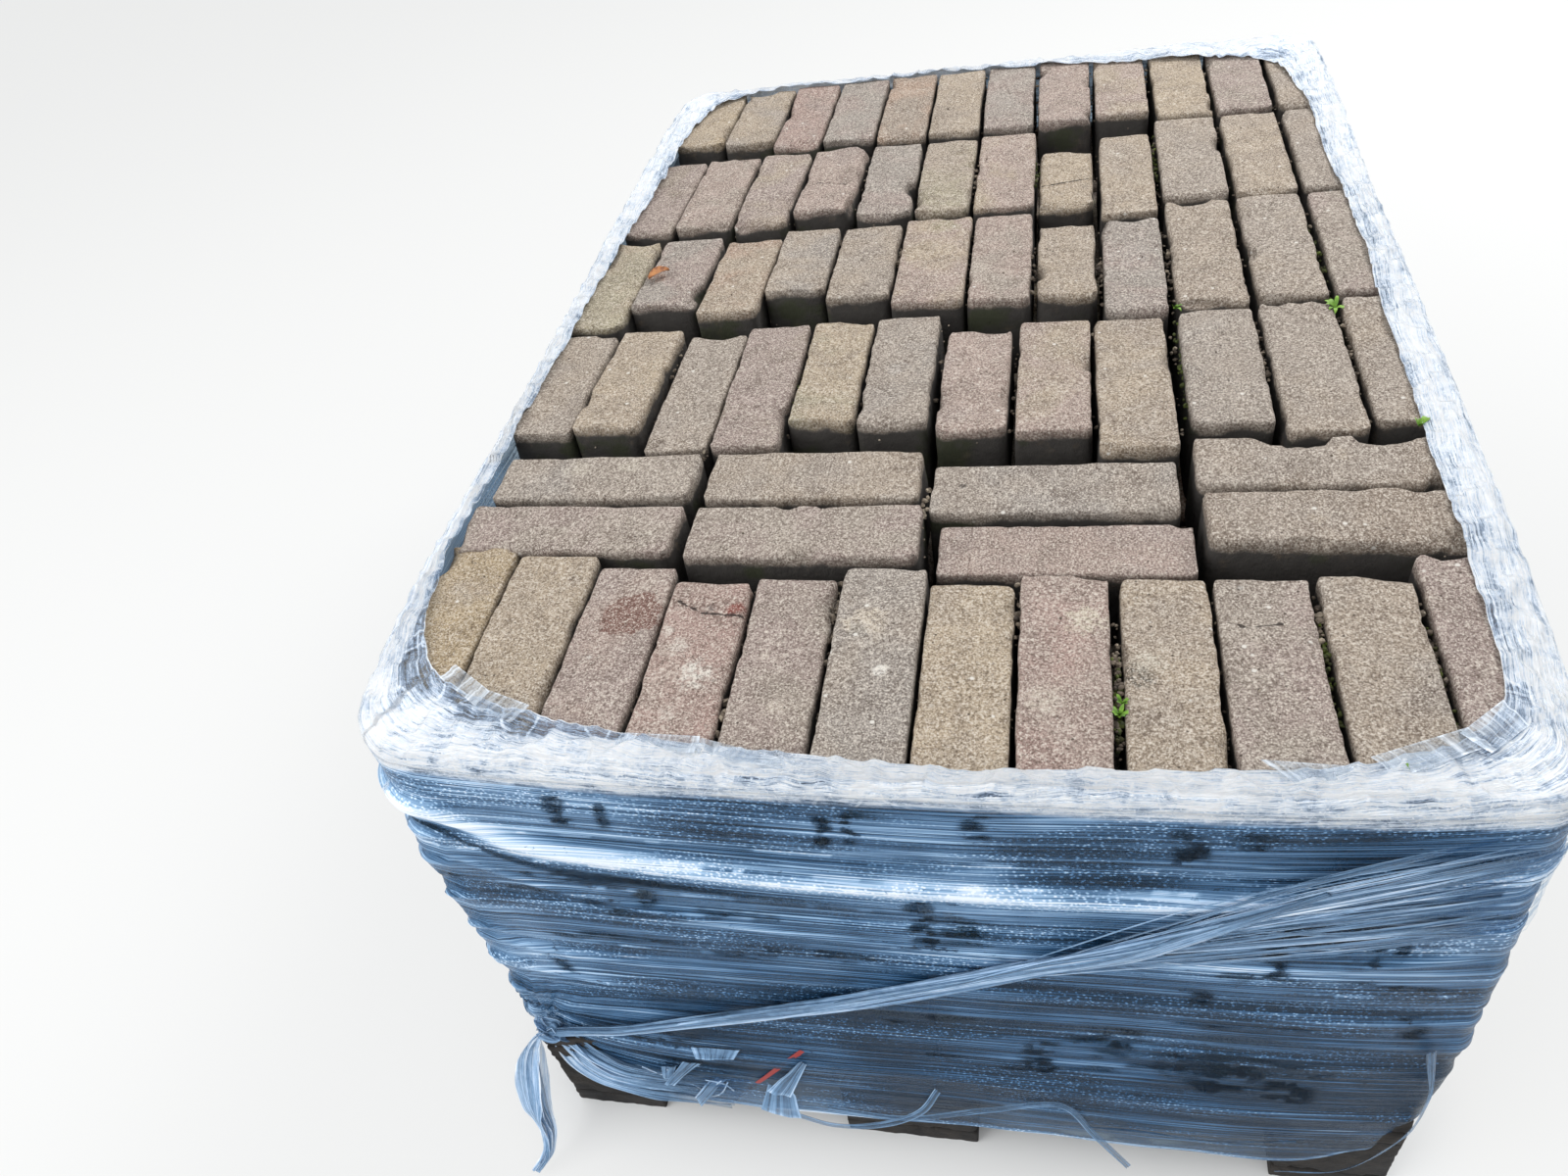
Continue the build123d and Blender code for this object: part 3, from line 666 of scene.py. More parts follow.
def brick_material():
    n = Nodes("brick")
    own, place, below = n.attribute("own", "Vector"), n.place(), n.attribute("below")
    up = n.part(n.add("ShaderNodeNewGeometry").outputs["Normal"], 2)
    cloud, shade = n.noise(own, 14, 4, 0.55, 0.4), n.noise(own, 45, 4, 0.6)
    blotch = n.noise(n.vector("ADD", own, (1.3, 4.1, 2.2)), 24, 5, 0.65, 0.8)
    grain, pits = n.noise(own, 620, 3, 0.75), n.noise(own, 150, 4, 0.7)
    coarse = n.noise(n.vector("ADD", own, (5.1, 0.9, 2.3)), 300, 2, 0.6)
    speck, dots = n.spot(own, 260), n.spot(n.vector("ADD", own, (3.3, 1.7, 0.4)), 75)
    # Blotches, lime and mortar left on the faces.
    color = n.mix(cloud.steps(0.42, 0.66), n.attribute("tone", "Color"), n.attribute("tone_b", "Color"))
    color = n.layers(color, [
        (shade, 0.25, 0.80, 0.34, (0.10, 0.075, 0.06)),
        (blotch, 0.54, 0.70, 0.42, srgb(104, 88, 78)), (blotch, 0.44, 0.30, 0.30, srgb(214, 202, 186)),
        (n.noise(own, 28, 6, 0.72, 0.6), 0.62, 0.76, 0.40, srgb(226, 214, 198)),
    ])
    # The marks on single bricks, on bare or scuffed faces and with soft or torn edges.
    scuffed = n.noise(place, 230, 4, 0.7).steps(0.36, 0.56, 0.15, 1.0)
    flat = n.vector("MULTIPLY", place, (1, 1, 0))
    soft_edge, torn_edge = n.noise(place, 75, 3, 0.55) - 0.5, n.noise(place, 130, 5, 0.75) - 0.5
    for x, y, radius, mark, ragged, strength in MARKS:
        away = n.vector("DISTANCE", flat, (LEFT + x, FRONT + y, 0))
        edge = soft_edge if ragged < 0.8 else torn_edge
        away = n.math("MULTIPLY_ADD", edge, radius * (0.7 + ragged * 2.6), away)
        inside = away.steps(radius * 1.05, radius * (0.92 if ragged < 0.4 else 0.45), 0.0, strength)
        color = n.mix(inside * scuffed if ragged > 0.55 else inside, color, mark)
    # Sandy grain, pale and dark, with pits and flecks.
    color = n.layers(color, [
        (grain, 0.49, 0.68, 0.92, srgb(240, 229, 214)), (grain, 0.51, 0.32, 0.90, srgb(86, 70, 60)),
        (coarse, 0.54, 0.70, 0.45, srgb(236, 225, 210)), (coarse, 0.46, 0.32, 0.45, srgb(100, 84, 74)),
        (speck, 0.15, 0.09, 0.8, srgb(238, 230, 218)), (dots, 0.085, 0.050, 0.85, srgb(70, 58, 50)),
        (pits, 0.66, 0.74, 0.65, srgb(78, 66, 58)),
    ])
    fleck = n.spots(n.vector("ADD", own, (0.7, 2.9, 1.1)), 52)
    flecked = Value(n, fleck["Distance"]).steps(0.11, 0.06) * n.channel(fleck["Color"], 0).steps(0.62, 0.66)
    color = n.mix(flecked * 0.9, color, srgb(240, 234, 224))
    # Cracks across single faces.
    crack_edge = (n.noise(place, 160, 3, 0.6) - 0.5) * 0.006
    for (ax, ay), (bx, by), thick in CRACKS:
        run = (bx - ax, by - ay, 0)
        offset = n.vector("SUBTRACT", flat, (LEFT + ax, FRONT + ay, 0))
        share = n.math("DIVIDE", n.vector("DOT_PRODUCT", offset, run), run[0] ** 2 + run[1] ** 2, clamp=True)
        nearest = n.add("ShaderNodeVectorMath", {0: run, "Scale": share}, operation="SCALE")
        away = n.vector("DISTANCE", offset, nearest) + crack_edge
        color = n.mix(away.steps(thick, thick * 0.4, 0.0, 0.9), color, srgb(52, 42, 38))
    # Sooty, damp sides below the worn edge, darkest on faces that do not face up: partly the bricks' own
    # soot, partly painted shade on the sides.
    line = below + (n.noise(own, 22, 4, 0.6) - 0.5) * 0.022
    soot_and_shade = n.mix(n.noise(own, 60, 5, 0.65), srgb(44, 47, 52), srgb(94, 94, 92))
    soot_and_shade = n.layers(soot_and_shade, [(n.noise(own, 35, 5, 0.7), 0.56, 0.72, 0.45, srgb(140, 122, 102))])
    color = n.mix(line.steps(0.0065, 0.0115) * up.steps(0.62, 0.35), color, soot_and_shade)
    # Painted shade: a darker brown band on the sides just under the top edge.
    color = n.mix(line.steps(0.0015, 0.006) * up.steps(0.9, 0.6) * 0.35, color, srgb(80, 68, 56))
    # Moss deep in the joints.
    moss = n.noise(place, 16, 3, 0.6).steps(0.55, 0.66) * below.steps(0.006, 0.014)
    color = n.mix(moss * 0.55, color, srgb(62, 70, 38))
    color = n.mix(1.0, color, (0.68, 0.68, 0.68), "MULTIPLY")
    height = grain * 0.5 + n.noise(own, 180, 4, 0.65) * 1.2
    return n.surface(n.body(color, 0.88, 0.25, height=height, strength=0.9, depth=0.0016))


brick_look = brick_material()


def place_brick(entry, base, seed, step, chips, crosswise, mesh):
    """A brick in its place: points, quads, both tones, where its grain is read, and depth below its top."""
    tone, tone_b, x0, x1, y0, y1, near, far, turn, wear = entry
    x0, x1, y0, y1, near, far = (v / 1000 for v in (x0, x1, y0, y1, near, far))
    if crosswise:
        p, quads, below = worn_brick(y1 - y0, x1 - x0, 0, 0, wear, seed, step, chips, mesh)
        own = p.copy()
        lift = (0.5 - p[:, 0] / (y1 - y0)) * near + (0.5 + p[:, 0] / (y1 - y0)) * far
        p = np.stack([-p[:, 1], p[:, 0], p[:, 2] * (1 + lift / LAYER)], 1)
    else:
        p, quads, below = worn_brick(x1 - x0, y1 - y0, near, far, wear, seed, step, chips, mesh)
        own = p.copy()
    c, s = math.cos(math.radians(turn)), math.sin(math.radians(turn))
    x, y = p[:, 0] * c - p[:, 1] * s, p[:, 0] * s + p[:, 1] * c
    p = np.stack([x + (x0 + x1) / 2 + LEFT, y + (y0 + y1) / 2 + FRONT, p[:, 2] + base], 1)
    tones = [np.tile(TONES[name], (len(p), 1)) for name in (tone, tone_b)]
    return behind_film(p), quads, *tones, own + np.array([0.371, 0.713, 0.173]) * seed % 5, below


def gather_bricks(name, bricks):
    """One object of many bricks."""
    points, faces, tone, tone_b, own, below = joined(bricks)
    looks = {"tone": tone, "tone_b": tone_b, "own": own, "below": below}
    return make_object(name, points, faces, looks, material=brick_look)


TOP_CELL, TOP_MARGIN = 0.0025, 0.02


def load_top():
    """A grid of the height of the brick tops, drawn out as a sheet laid on them would lie."""
    across, into = (np.arange(-TOP_MARGIN, end, TOP_CELL) * 1000 for end in (0.84, 1.21))
    gx, gy = np.meshgrid(across, into, indexing="ij")
    out = np.zeros(gx.shape)
    for row in TOP_BRICKS.values():
        for _, _, x0, x1, y0, y1, near, far, _, _ in row:
            t = np.clip((gy - y0) / (y1 - y0), 0, 1)
            on = (gx > x0) & (gx < x1) & (gy > y0) & (gy < y1)
            out = np.where(on, (near + (far - near) * t) / 1000, out)
    for axis in (0, 1):
        out = np.max([np.roll(out, k, axis) for k in range(-4, 5)], axis=0)
    for axis in (0, 1, 0, 1):
        out = sum(np.roll(out, k, axis) for k in range(-2, 3)) / 5
    return np.maximum(out, 0.0)


TOP_GRID = load_top()


def top_at(x, y):
    """The height above the top of the load where a sheet would lie, for row coordinates."""
    i = np.clip(((x - LEFT + TOP_MARGIN) / TOP_CELL).astype(int), 0, TOP_GRID.shape[0] - 1)
    j = np.clip(((y - FRONT + TOP_MARGIN) / TOP_CELL).astype(int), 0, TOP_GRID.shape[1] - 1)
    return TOP_GRID[i, j]


TOP_STEP = detail(0.005, 0.0035)
seed = 1
for row_name, row in TOP_BRICKS.items():
    bricks = []
    for entry in row:
        seed += 1
        bricks.append(place_brick(entry, TOP - LAYER, seed, TOP_STEP, 7, row_name == "b", FINE_MESH))
    thing = gather_bricks("bricks_top_row_" + row_name, bricks)
    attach(thing, "root")
    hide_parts("brick_layer_5")

# The lower layers show only through the film, so their bricks are plainer.
# A row is laid lengthwise or crosswise: bricks in it, width across, depth into the load, joint.
ROW_KINDS = {"long": (12, 0.065, 0.200, 0.0028), "cross": (4, 0.200, 0.065, 0.0036)}
ROW_GAP, FIRST_ROW_AT = 0.007, 0.004
ROW_MIDDLE, SQUEEZE = 0.404, 0.985
# How far single bricks of a lengthwise front row stand back, in millimetres, and every crosswise one.
SET_BACK, CROSS_SET_BACK = {0: 14, 1: 5, 11: 9, 10: 3}, 5
tone_names = list(TONES)
for layer in range(1, 5):
    rng = np.random.default_rng(50 + layer)
    even = layer % 2 == 0
    kinds = ["cross", "cross", "long"] if even else ["long", "cross", "cross"]
    base = DECK + (layer - 1) * LAYER
    y = FIRST_ROW_AT
    bricks = []
    for number, kind in enumerate(kinds + ["long"] * 4):
        count, width, depth, joint = ROW_KINDS[kind]
        for i in range(count):
            seed += 1
            x = ROW_MIDDLE + (i - (count - 1) / 2) * (width + joint) * SQUEEZE
            near, far = y * 1000 + rng.random() * 2, (y + depth) * 1000 - rng.random() * 3
            if number == 0:
                near += SET_BACK.get(i, 0) if kind == "long" else CROSS_SET_BACK
            entry = (
                tone_names[rng.integers(len(TONES))], tone_names[rng.integers(len(TONES))],
                (x - width / 2) * 1000, (x + width / 2) * 1000,
                near, far, 0, 0, 0, 0.8 + 0.4 * rng.random(),
            )
            outer = number in (0, 6) or i in (0, count - 1) or (even and number < 2)
            step = 0.018 if outer else 0.06
            bricks.append(place_brick(entry, base, seed, step, 5, kind == "cross", COARSE_MESH))
        y += depth + ROW_GAP
    thing = gather_bricks(f"bricks_layer_{layer}", bricks)
    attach(thing, "root")
    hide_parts(f"brick_layer_{layer}")


# Film.
def way_round(columns):
    """The way round the film to each column."""
    out = []
    for side, share in columns:
        if side < 4:
            out.append(CORNERS_AT[side] + HALF_TURN + share * (SIDE_LENGTHS[side] - 2 * HALF_TURN))
        else:
            out.append((CORNERS_AT[side - 4] - HALF_TURN + share * 2 * HALF_TURN) % ROUND)
    return np.array(out)


def before_corner(along, last):
    """The way round, counted back from the front left corner beyond a last place."""
    return np.where(along > last, along - ROUND, along)


# The free inner edge of the film on top of the bricks: way round, and its place in the load's own measures.
FREE_EDGE = [
    (-0.15, 0.005, 0.200), (-0.07, 0.016, 0.142), (0.00, 0.045, 0.092), (0.06, 0.085, 0.066),
    (0.12, 0.135, 0.050), (0.20, 0.205, 0.036), (0.30, 0.300, 0.022), (0.45, 0.450, 0.016),
    (0.60, 0.600, 0.022), (0.70, 0.695, 0.033), (0.76, 0.745, 0.050), (0.82, 0.772, 0.080),
    (0.90, 0.779, 0.135), (1.00, 0.781, 0.200), (1.30, 0.784, 0.500), (1.60, 0.784, 0.800),
    (1.85, 0.778, 1.020), (2.00, 0.752, 1.110), (2.10, 0.700, 1.135), (2.25, 0.560, 1.155),
    (2.40, 0.420, 1.170), (2.60, 0.220, 1.172), (2.75, 0.085, 1.165), (2.82, 0.048, 1.140),
    (2.90, 0.028, 1.080), (3.10, 0.018, 0.900), (3.40, 0.010, 0.600), (3.70, 0.006, 0.300),
    (3.85, 0.005, 0.200), (3.93, 0.016, 0.142), (4.00, 0.045, 0.092), (4.06, 0.085, 0.066),
]

# How clear the film is towards its free edge, by way round.
CLEAR_EDGE = [
    (0.0, 1.0), (0.15, 0.95), (0.24, 0.85), (0.32, 0.35), (0.45, 0.12), (0.60, 0.15), (0.70, 0.45),
    (0.78, 0.85), (0.86, 0.7), (1.0, 0.5), (1.5, 0.5), (2.0, 0.5), (2.4, 0.6), (2.8, 0.7), (3.2, 0.6),
    (3.6, 0.7), (3.85, 0.9), (4.0, 1.0),
]

# Gathered bands across the front and round its corners: way round and height, then a width and a strength.
BANDS = [
    ([
        (-0.10, -0.058), (0.03, -0.064), (0.10, -0.092), (0.18, -0.106), (0.30, -0.116), (0.42, -0.117),
        (0.55, -0.116), (0.68, -0.100), (0.80, -0.070), (0.90, -0.060),
    ], 0.015, 1.25),
    ([
        (-0.10, -0.115), (0.03, -0.120), (0.12, -0.150), (0.25, -0.180), (0.45, -0.196), (0.65, -0.190),
        (0.82, -0.160), (0.90, -0.150),
    ], 0.006, 0.45),
    ([
        (-0.10, -0.250), (0.03, -0.258), (0.20, -0.262), (0.40, -0.262), (0.60, -0.258), (0.82, -0.262),
        (0.90, -0.260),
    ], 0.007, 0.4),
    ([
        (-0.10, -0.300), (0.03, -0.300), (0.20, -0.305), (0.40, -0.300), (0.60, -0.296), (0.82, -0.300),
        (0.90, -0.300),
    ], 0.006, 0.5),
    ([
        (-0.10, -0.400), (0.03, -0.398), (0.20, -0.402), (0.40, -0.402), (0.60, -0.405), (0.82, -0.408),
        (0.90, -0.400),
    ], 0.013, 0.75),
]

# Steps down the corners, where one turn of the film ends over the next: height, depth.
CORNER_STEPS = (
    (-0.050, 0.007), (-0.092, 0.005), (-0.130, 0.006), (-0.185, 0.005), (-0.235, 0.005), (-0.290, 0.006),
    (-0.345, 0.005),
)

# Rows of trapped bubbles: height, gap.
BUBBLES = ((-0.086, 0.022), (-0.096, 0.031), (-0.128, 0.026), (-0.060, 0.037), (-0.215, 0.034))

# Wet marks on the front film: across, top, bottom, half width, strength.
WET_MARKS = [
    (0.150, -0.016, -0.060, 0.010, 0.9), (0.185, -0.022, -0.062, 0.006, 0.7),
    (0.345, -0.020, -0.030, 0.045, 0.9), (0.352, -0.020, -0.066, 0.006, 1.0),
    (0.372, -0.022, -0.060, 0.005, 1.0), (0.462, -0.018, -0.050, 0.009, 1.0),
    (0.600, -0.020, -0.064, 0.012, 1.0), (0.640, -0.024, -0.045, 0.018, 0.6),
    (0.205, -0.128, -0.180, 0.010, 0.7), (0.420, -0.126, -0.190, 0.012, 1.0),
    (0.445, -0.150, -0.185, 0.020, 0.8), (0.665, -0.128, -0.200, 0.008, 1.0),
    (0.715, -0.132, -0.180, 0.007, 1.0), (0.730, -0.135, -0.175, 0.005, 0.9),
    (0.745, -0.132, -0.165, 0.005, 0.9), (0.560, -0.300, -0.345, 0.016, 0.9),
    (0.650, -0.340, -0.385, 0.030, 0.9), (0.700, -0.350, -0.390, 0.022, 0.9),
    (0.270, -0.220, -0.245, 0.030, 0.5), (0.500, -0.335, -0.380, 0.014, 0.8),
    (0.380, -0.300, -0.330, 0.012, 0.6), (0.090, -0.250, -0.300, 0.012, 0.6),
    (0.620, -0.225, -0.262, 0.010, 0.7), (0.770, -0.250, -0.290, 0.012, 0.7),
]

# Height of the film's foot, by way round.
FOOT_LINE = [
    (-0.20, -0.452), (-0.08, -0.446), (0.00, -0.438), (0.03, -0.462), (0.06, -0.484), (0.12, -0.491),
    (0.30, -0.492), (0.50, -0.486), (0.65, -0.490), (0.76, -0.488), (0.80, -0.468), (0.86, -0.452),
    (1.30, -0.458), (1.80, -0.452), (2.40, -0.460), (2.95, -0.454), (3.50, -0.460), (3.80, -0.452),
    (3.92, -0.446),
]


def band_height(table, along):
    return between(np.clip(before_corner(along, ROUND - 0.11), -0.1, 0.9), table)


def banded(u, z):
    """How far the gathered bands stand out, and how hazy they are, over the plain film's haze."""
    push, haze = np.zeros_like(z), np.full_like(z, 0.22)
    for table, width, strength in BANDS:
        d = (z - band_height(table, u) + 0.004 * (noise(u * 14, 3.5, 2.5) - 0.5)) / width
        near = np.exp(-d * d * np.where(d > 0, 1.0, 3.2))
        push += 0.0030 * strength * np.exp(-d * d * 2.2)
        haze += strength * 0.55 * near * (0.45 + 0.8 * noise(u * 9, z * 60, 4.5))
    # The bright band is widest and brightest at its left end, with a crease under it.
    d, left = z - band_height(BANDS[0][0], u), u < 0.5
    haze += 0.30 * bell(d, 0.001, 0.015) * ramp(u, 0.36, 0.12) * left
    haze -= 0.35 * bell(d, -0.023, 0.0040) * ramp(u, 0.42, 0.16) * left
    return push, haze


def wetness(u, un, z):
    """How wet the film is, where it sticks to dark brick, mostly along the joints."""
    wet = np.zeros_like(z)
    for x_at, z_high, z_low, wide, strength in WET_MARKS:
        d = np.abs(un - x_at + 0.010 * (noise(z * 90, x_at * 50, 1.5) - 0.5)) / wide
        mark = np.exp(-(d ** 2.5)) * ramp(z, z_low - 0.006, z_low + 0.006)
        mark *= ramp(z, z_high + 0.005, z_high - 0.005)
        wet = np.maximum(wet, strength * mark * ramp(rough(un * 55, z * 230, x_at * 9), 0.36, 0.54))
    patches = ramp(rough(u * 7 + 3, z * 46, 4.2, 4), 0.60, 0.72) * (z < -0.11)
    wet = np.maximum(wet, 0.55 * patches * ramp(rough(u * 50, z * 120, 9.2, 2), 0.35, 0.60))
    return wet * ramp(z, 0.0, -0.012)


def film_wall(u, z, low):
    """How far the film stands out, its haze, its wetness and the height of its drawn lines.
    low runs to 1 at its foot."""
    push, haze = banded(u, z)
    # The lines in the film sag and wander.
    sag = 0.016 * np.sin(np.pi * np.clip(np.where(u < WIDE, u, 0) / WIDE, 0, 1)) * ramp(z, -0.42, -0.05)
    wander = 0.020 * (noise(u * 2.3, z * 2.0 + 4, 1.5) - 0.5) + 0.008 * (noise(u * 9, z * 5, 8.5) - 0.5)
    lines = z + sag + wander
    # Dents over the joints between layers, bulges over the bricks, and fine ridges.
    for k in range(1, 5):
        push -= 0.0022 * bell(z, -k * LAYER, 0.007)
    push += 0.006 * (noise(u * 5.0, z * 9.0, 0.5) - 0.5)
    push += 0.0010 * (1 - np.abs(2 * rough(u * 3.2, lines * 75, 2.2) - 1) - 0.6)
    push += 0.0004 * (1 - np.abs(2 * noise(u * 7.0, lines * 190, 6.6) - 1) - 0.5)
    # Folds drawn towards the knot at the lower left corner of the front.
    un = before_corner(u, ROUND / 2)
    kx, kz = un - 0.030, z + 0.385
    far, angle = np.hypot(kx, kz), np.arctan2(kz, kx)
    push += 0.007 * np.exp(-far / 0.10) * (noise(angle * 9, far * 6, 3.3) - 0.5) - 0.004 * bell(far, 0, 0.03)
    haze += 0.35 * np.exp(-far / 0.05) * noise(angle * 14, far * 10, 5.1)
    lines = lines + kz * np.exp(-np.abs(kx) / 0.10) * np.exp(-np.abs(kz) / 0.10)
    # Steps down the corners.
    at_corner = np.zeros_like(z)
    for corner_at, strength in zip(CORNERS_AT, (1.0, 0.3, 0.4, 0.6)):
        d = np.abs((u - corner_at + ROUND / 2) % ROUND - ROUND / 2)
        at_corner = np.maximum(at_corner, strength * bell(d, 0, 0.045))
    for height, depth in CORNER_STEPS:
        under = height - z + 0.004 * (noise(u * 30, 4.4, height * 90) - 0.5)
        push += 0.9 * at_corner * depth * np.where(under > 0, np.exp(-under / 0.020), np.exp(under / 0.0015))
        haze += 0.35 * at_corner * bell(under, 0.003, 0.005)
    for height, gap in BUBBLES:
        d = (lines - height + 0.003 * (noise(u * 16, height * 200, 0.4) - 0.5)) / 0.0021
        dash = ramp(noise(u / gap * 2.0, height * 333, 6.1), 0.58, 0.68)
        haze += 0.55 * np.exp(-d * d) * dash * ramp(noise(u * 5, height * 100, 8.1), 0.35, 0.6)
    wet = wetness(u, un, z)
    haze -= 0.30 * wet
    # The white turn over the top edge.
    haze = np.maximum(haze, ramp(z, -0.020, -0.010) * (0.45 + 0.45 * noise(u * 20, z * 60, 1.1)))
    # The foot of the film is stretched clear, and it is torn open near the knot.
    clear = 0.45 * ramp(z + 0.010 * (noise(u * 8, 2.2, 5.5) - 0.5), -0.452, -0.470)
    torn = np.exp(-(((un - 0.215) / 0.085) ** 4)) * np.exp(-(((z + 0.432) / 0.052) ** 4))
    clear = np.maximum(clear, torn * ramp(noise(un * 30, z * 40, 5.9), 0.25, 0.50))
    haze = np.maximum(haze * (1 - 0.5 * clear), 0.85 * ramp(low, 0.955, 1.0))
    return push, haze, wet, lines


# The film turns over the top edge in a few rows, within a distance inwards from the wall.
TURN_ROWS, TURN_IN = 5, 0.007


def film_piece(name, columns, wall_step, rim_rows):
    """A sheet of the film: rows up the wall, then rows of the rim from the turn to the free edge."""
    wall = np.concatenate([[FILM_FOOT - 0.003], np.arange(FILM_FOOT, -0.006, wall_step)])
    heights, top = np.concatenate([wall, np.zeros(rim_rows)]), len(wall)
    x, y, nx, ny = outline(heights, columns)
    along = way_round(columns)
    u, z = np.meshgrid(along, heights)
    low = np.clip((-0.39 - z) / (-0.39 - FILM_FOOT), 0, 1)
    z = z + low * (between(np.clip(before_corner(along, 3.92), -0.2, 3.92), FOOT_LINE)[None, :] - FILM_FOOT)
    push, haze, wet, lines = film_wall(u, z, low)
    px, py = x + nx * push, y + ny * push
    # The film's edge at the foot is not level.
    foot = 0.006 * (noise(u * 6, 1.2, 7.7) - 0.5) + 0.004 * (noise(u * 25, 2.2, 7.7) - 0.5)
    pz = z + foot * ramp(low, 0.3, 1.0)
    share, drift = np.zeros_like(z), np.zeros_like(z)
    # The turn over the top edge.
    turn, flat = slice(top, top + TURN_ROWS), slice(top + TURN_ROWS, None)
    rows = np.arange(TURN_ROWS)[:, None]
    t = (rows + 0.5) / TURN_ROWS
    out = push[top - 1] * (1 - rows / TURN_ROWS) - TURN_IN * (1 - np.cos(t * np.pi / 2))
    px[turn], py[turn] = x[turn] + nx[turn] * out, y[turn] + ny[turn] * out
    pz[turn] = -0.006 + 0.0095 * np.sin(t * np.pi / 2)
    drift[turn], haze[turn] = 0.30 * t, 0.8
    # The rim, from the turn to the free edge.
    ex, ey = between(along, FREE_EDGE)
    ex, ey = ex + LEFT, ey + FRONT
    ragged = 0.007 * (noise(along * 9, 1.1, 1.1) - 0.5) + 0.0012 * (noise(along * 40, 2.1, 1.1) - 0.5)
    outwards = 1 + ragged / np.hypot(ex, ey)
    t = np.linspace(0, 1, rim_rows - TURN_ROWS + 1)[1:, None]
    px[flat] = (x[flat] - nx[flat] * TURN_IN) * (1 - t) + ex * outwards * t
    py[flat] = (y[flat] - ny[flat] * TURN_IN) * (1 - t) + ey * outwards * t
    share[flat], drift[flat], pz[flat] = t, 0.30 + t, 0.0035
    edge_clear = between(np.clip(along, 0, ROUND), CLEAR_EDGE)
    spread = t + 0.5 * (noise(px[flat] * 26, py[flat] * 26, 3.9) - 0.5)
    haze[flat] = 1.0 - 0.80 * edge_clear * ramp(spread, 0.40, 0.85)
    # The rim is crumpled, and it lies on the brick tops.
    rim = slice(top + 2, None)
    gx, gy = px[rim].copy(), py[rim].copy()
    wide = creases(gx + 0.01 * noise(gx * 40, gy * 40, 1), gy, 0.034, 3, 2.6)
    narrow = creases(gx, gy + 0.006 * noise(gx * 60, gy * 60, 2), 0.015, 9, 2.2)
    loose = ramp(share[rim], 0.25, 0.9)
    swell = 0.0050 * noise(gx * 16, gy * 16, 1.7) * (1 - 0.5 * loose)
    lift = 0.0042 * wide + 0.0018 * narrow + swell - 0.0035
    pz[rim] += np.maximum(lift, -0.0010) * ramp(share[rim] + 0.25, 0.0, 0.4)
    pz[rim] += (top_at(gx, gy) - 0.0012) * ramp(share[rim], 0.0, 0.10)
    px[rim] += 0.0016 * (noise(gx * 90, gy * 90, 9.7) - 0.5)
    py[rim] += 0.0016 * (noise(gx * 90 + 3, gy * 90, 7.7) - 0.5)
    haze[rim] += 0.10 * wide * loose
    haze[-1] = 1.0
    torn_top = ramp(z + 0.009 * (rough(u * 14, z * 60, 3.2) - 0.5), -0.0165, -0.0105)
    looks = {
        "flow": np.stack([u, lines, drift], -1).reshape(-1, 3), "haze": np.clip(haze, 0, 1.2).ravel(),
        "wet": wet.ravel(), "rim": np.maximum(ramp(share, 0.0, 0.1), torn_top).ravel(),
    }
    points = np.stack([px, py, pz + TOP], -1).reshape(-1, 3)
    return make_object(name, points, grid_quads(grid_index(*px.shape)), looks, material=film_look)


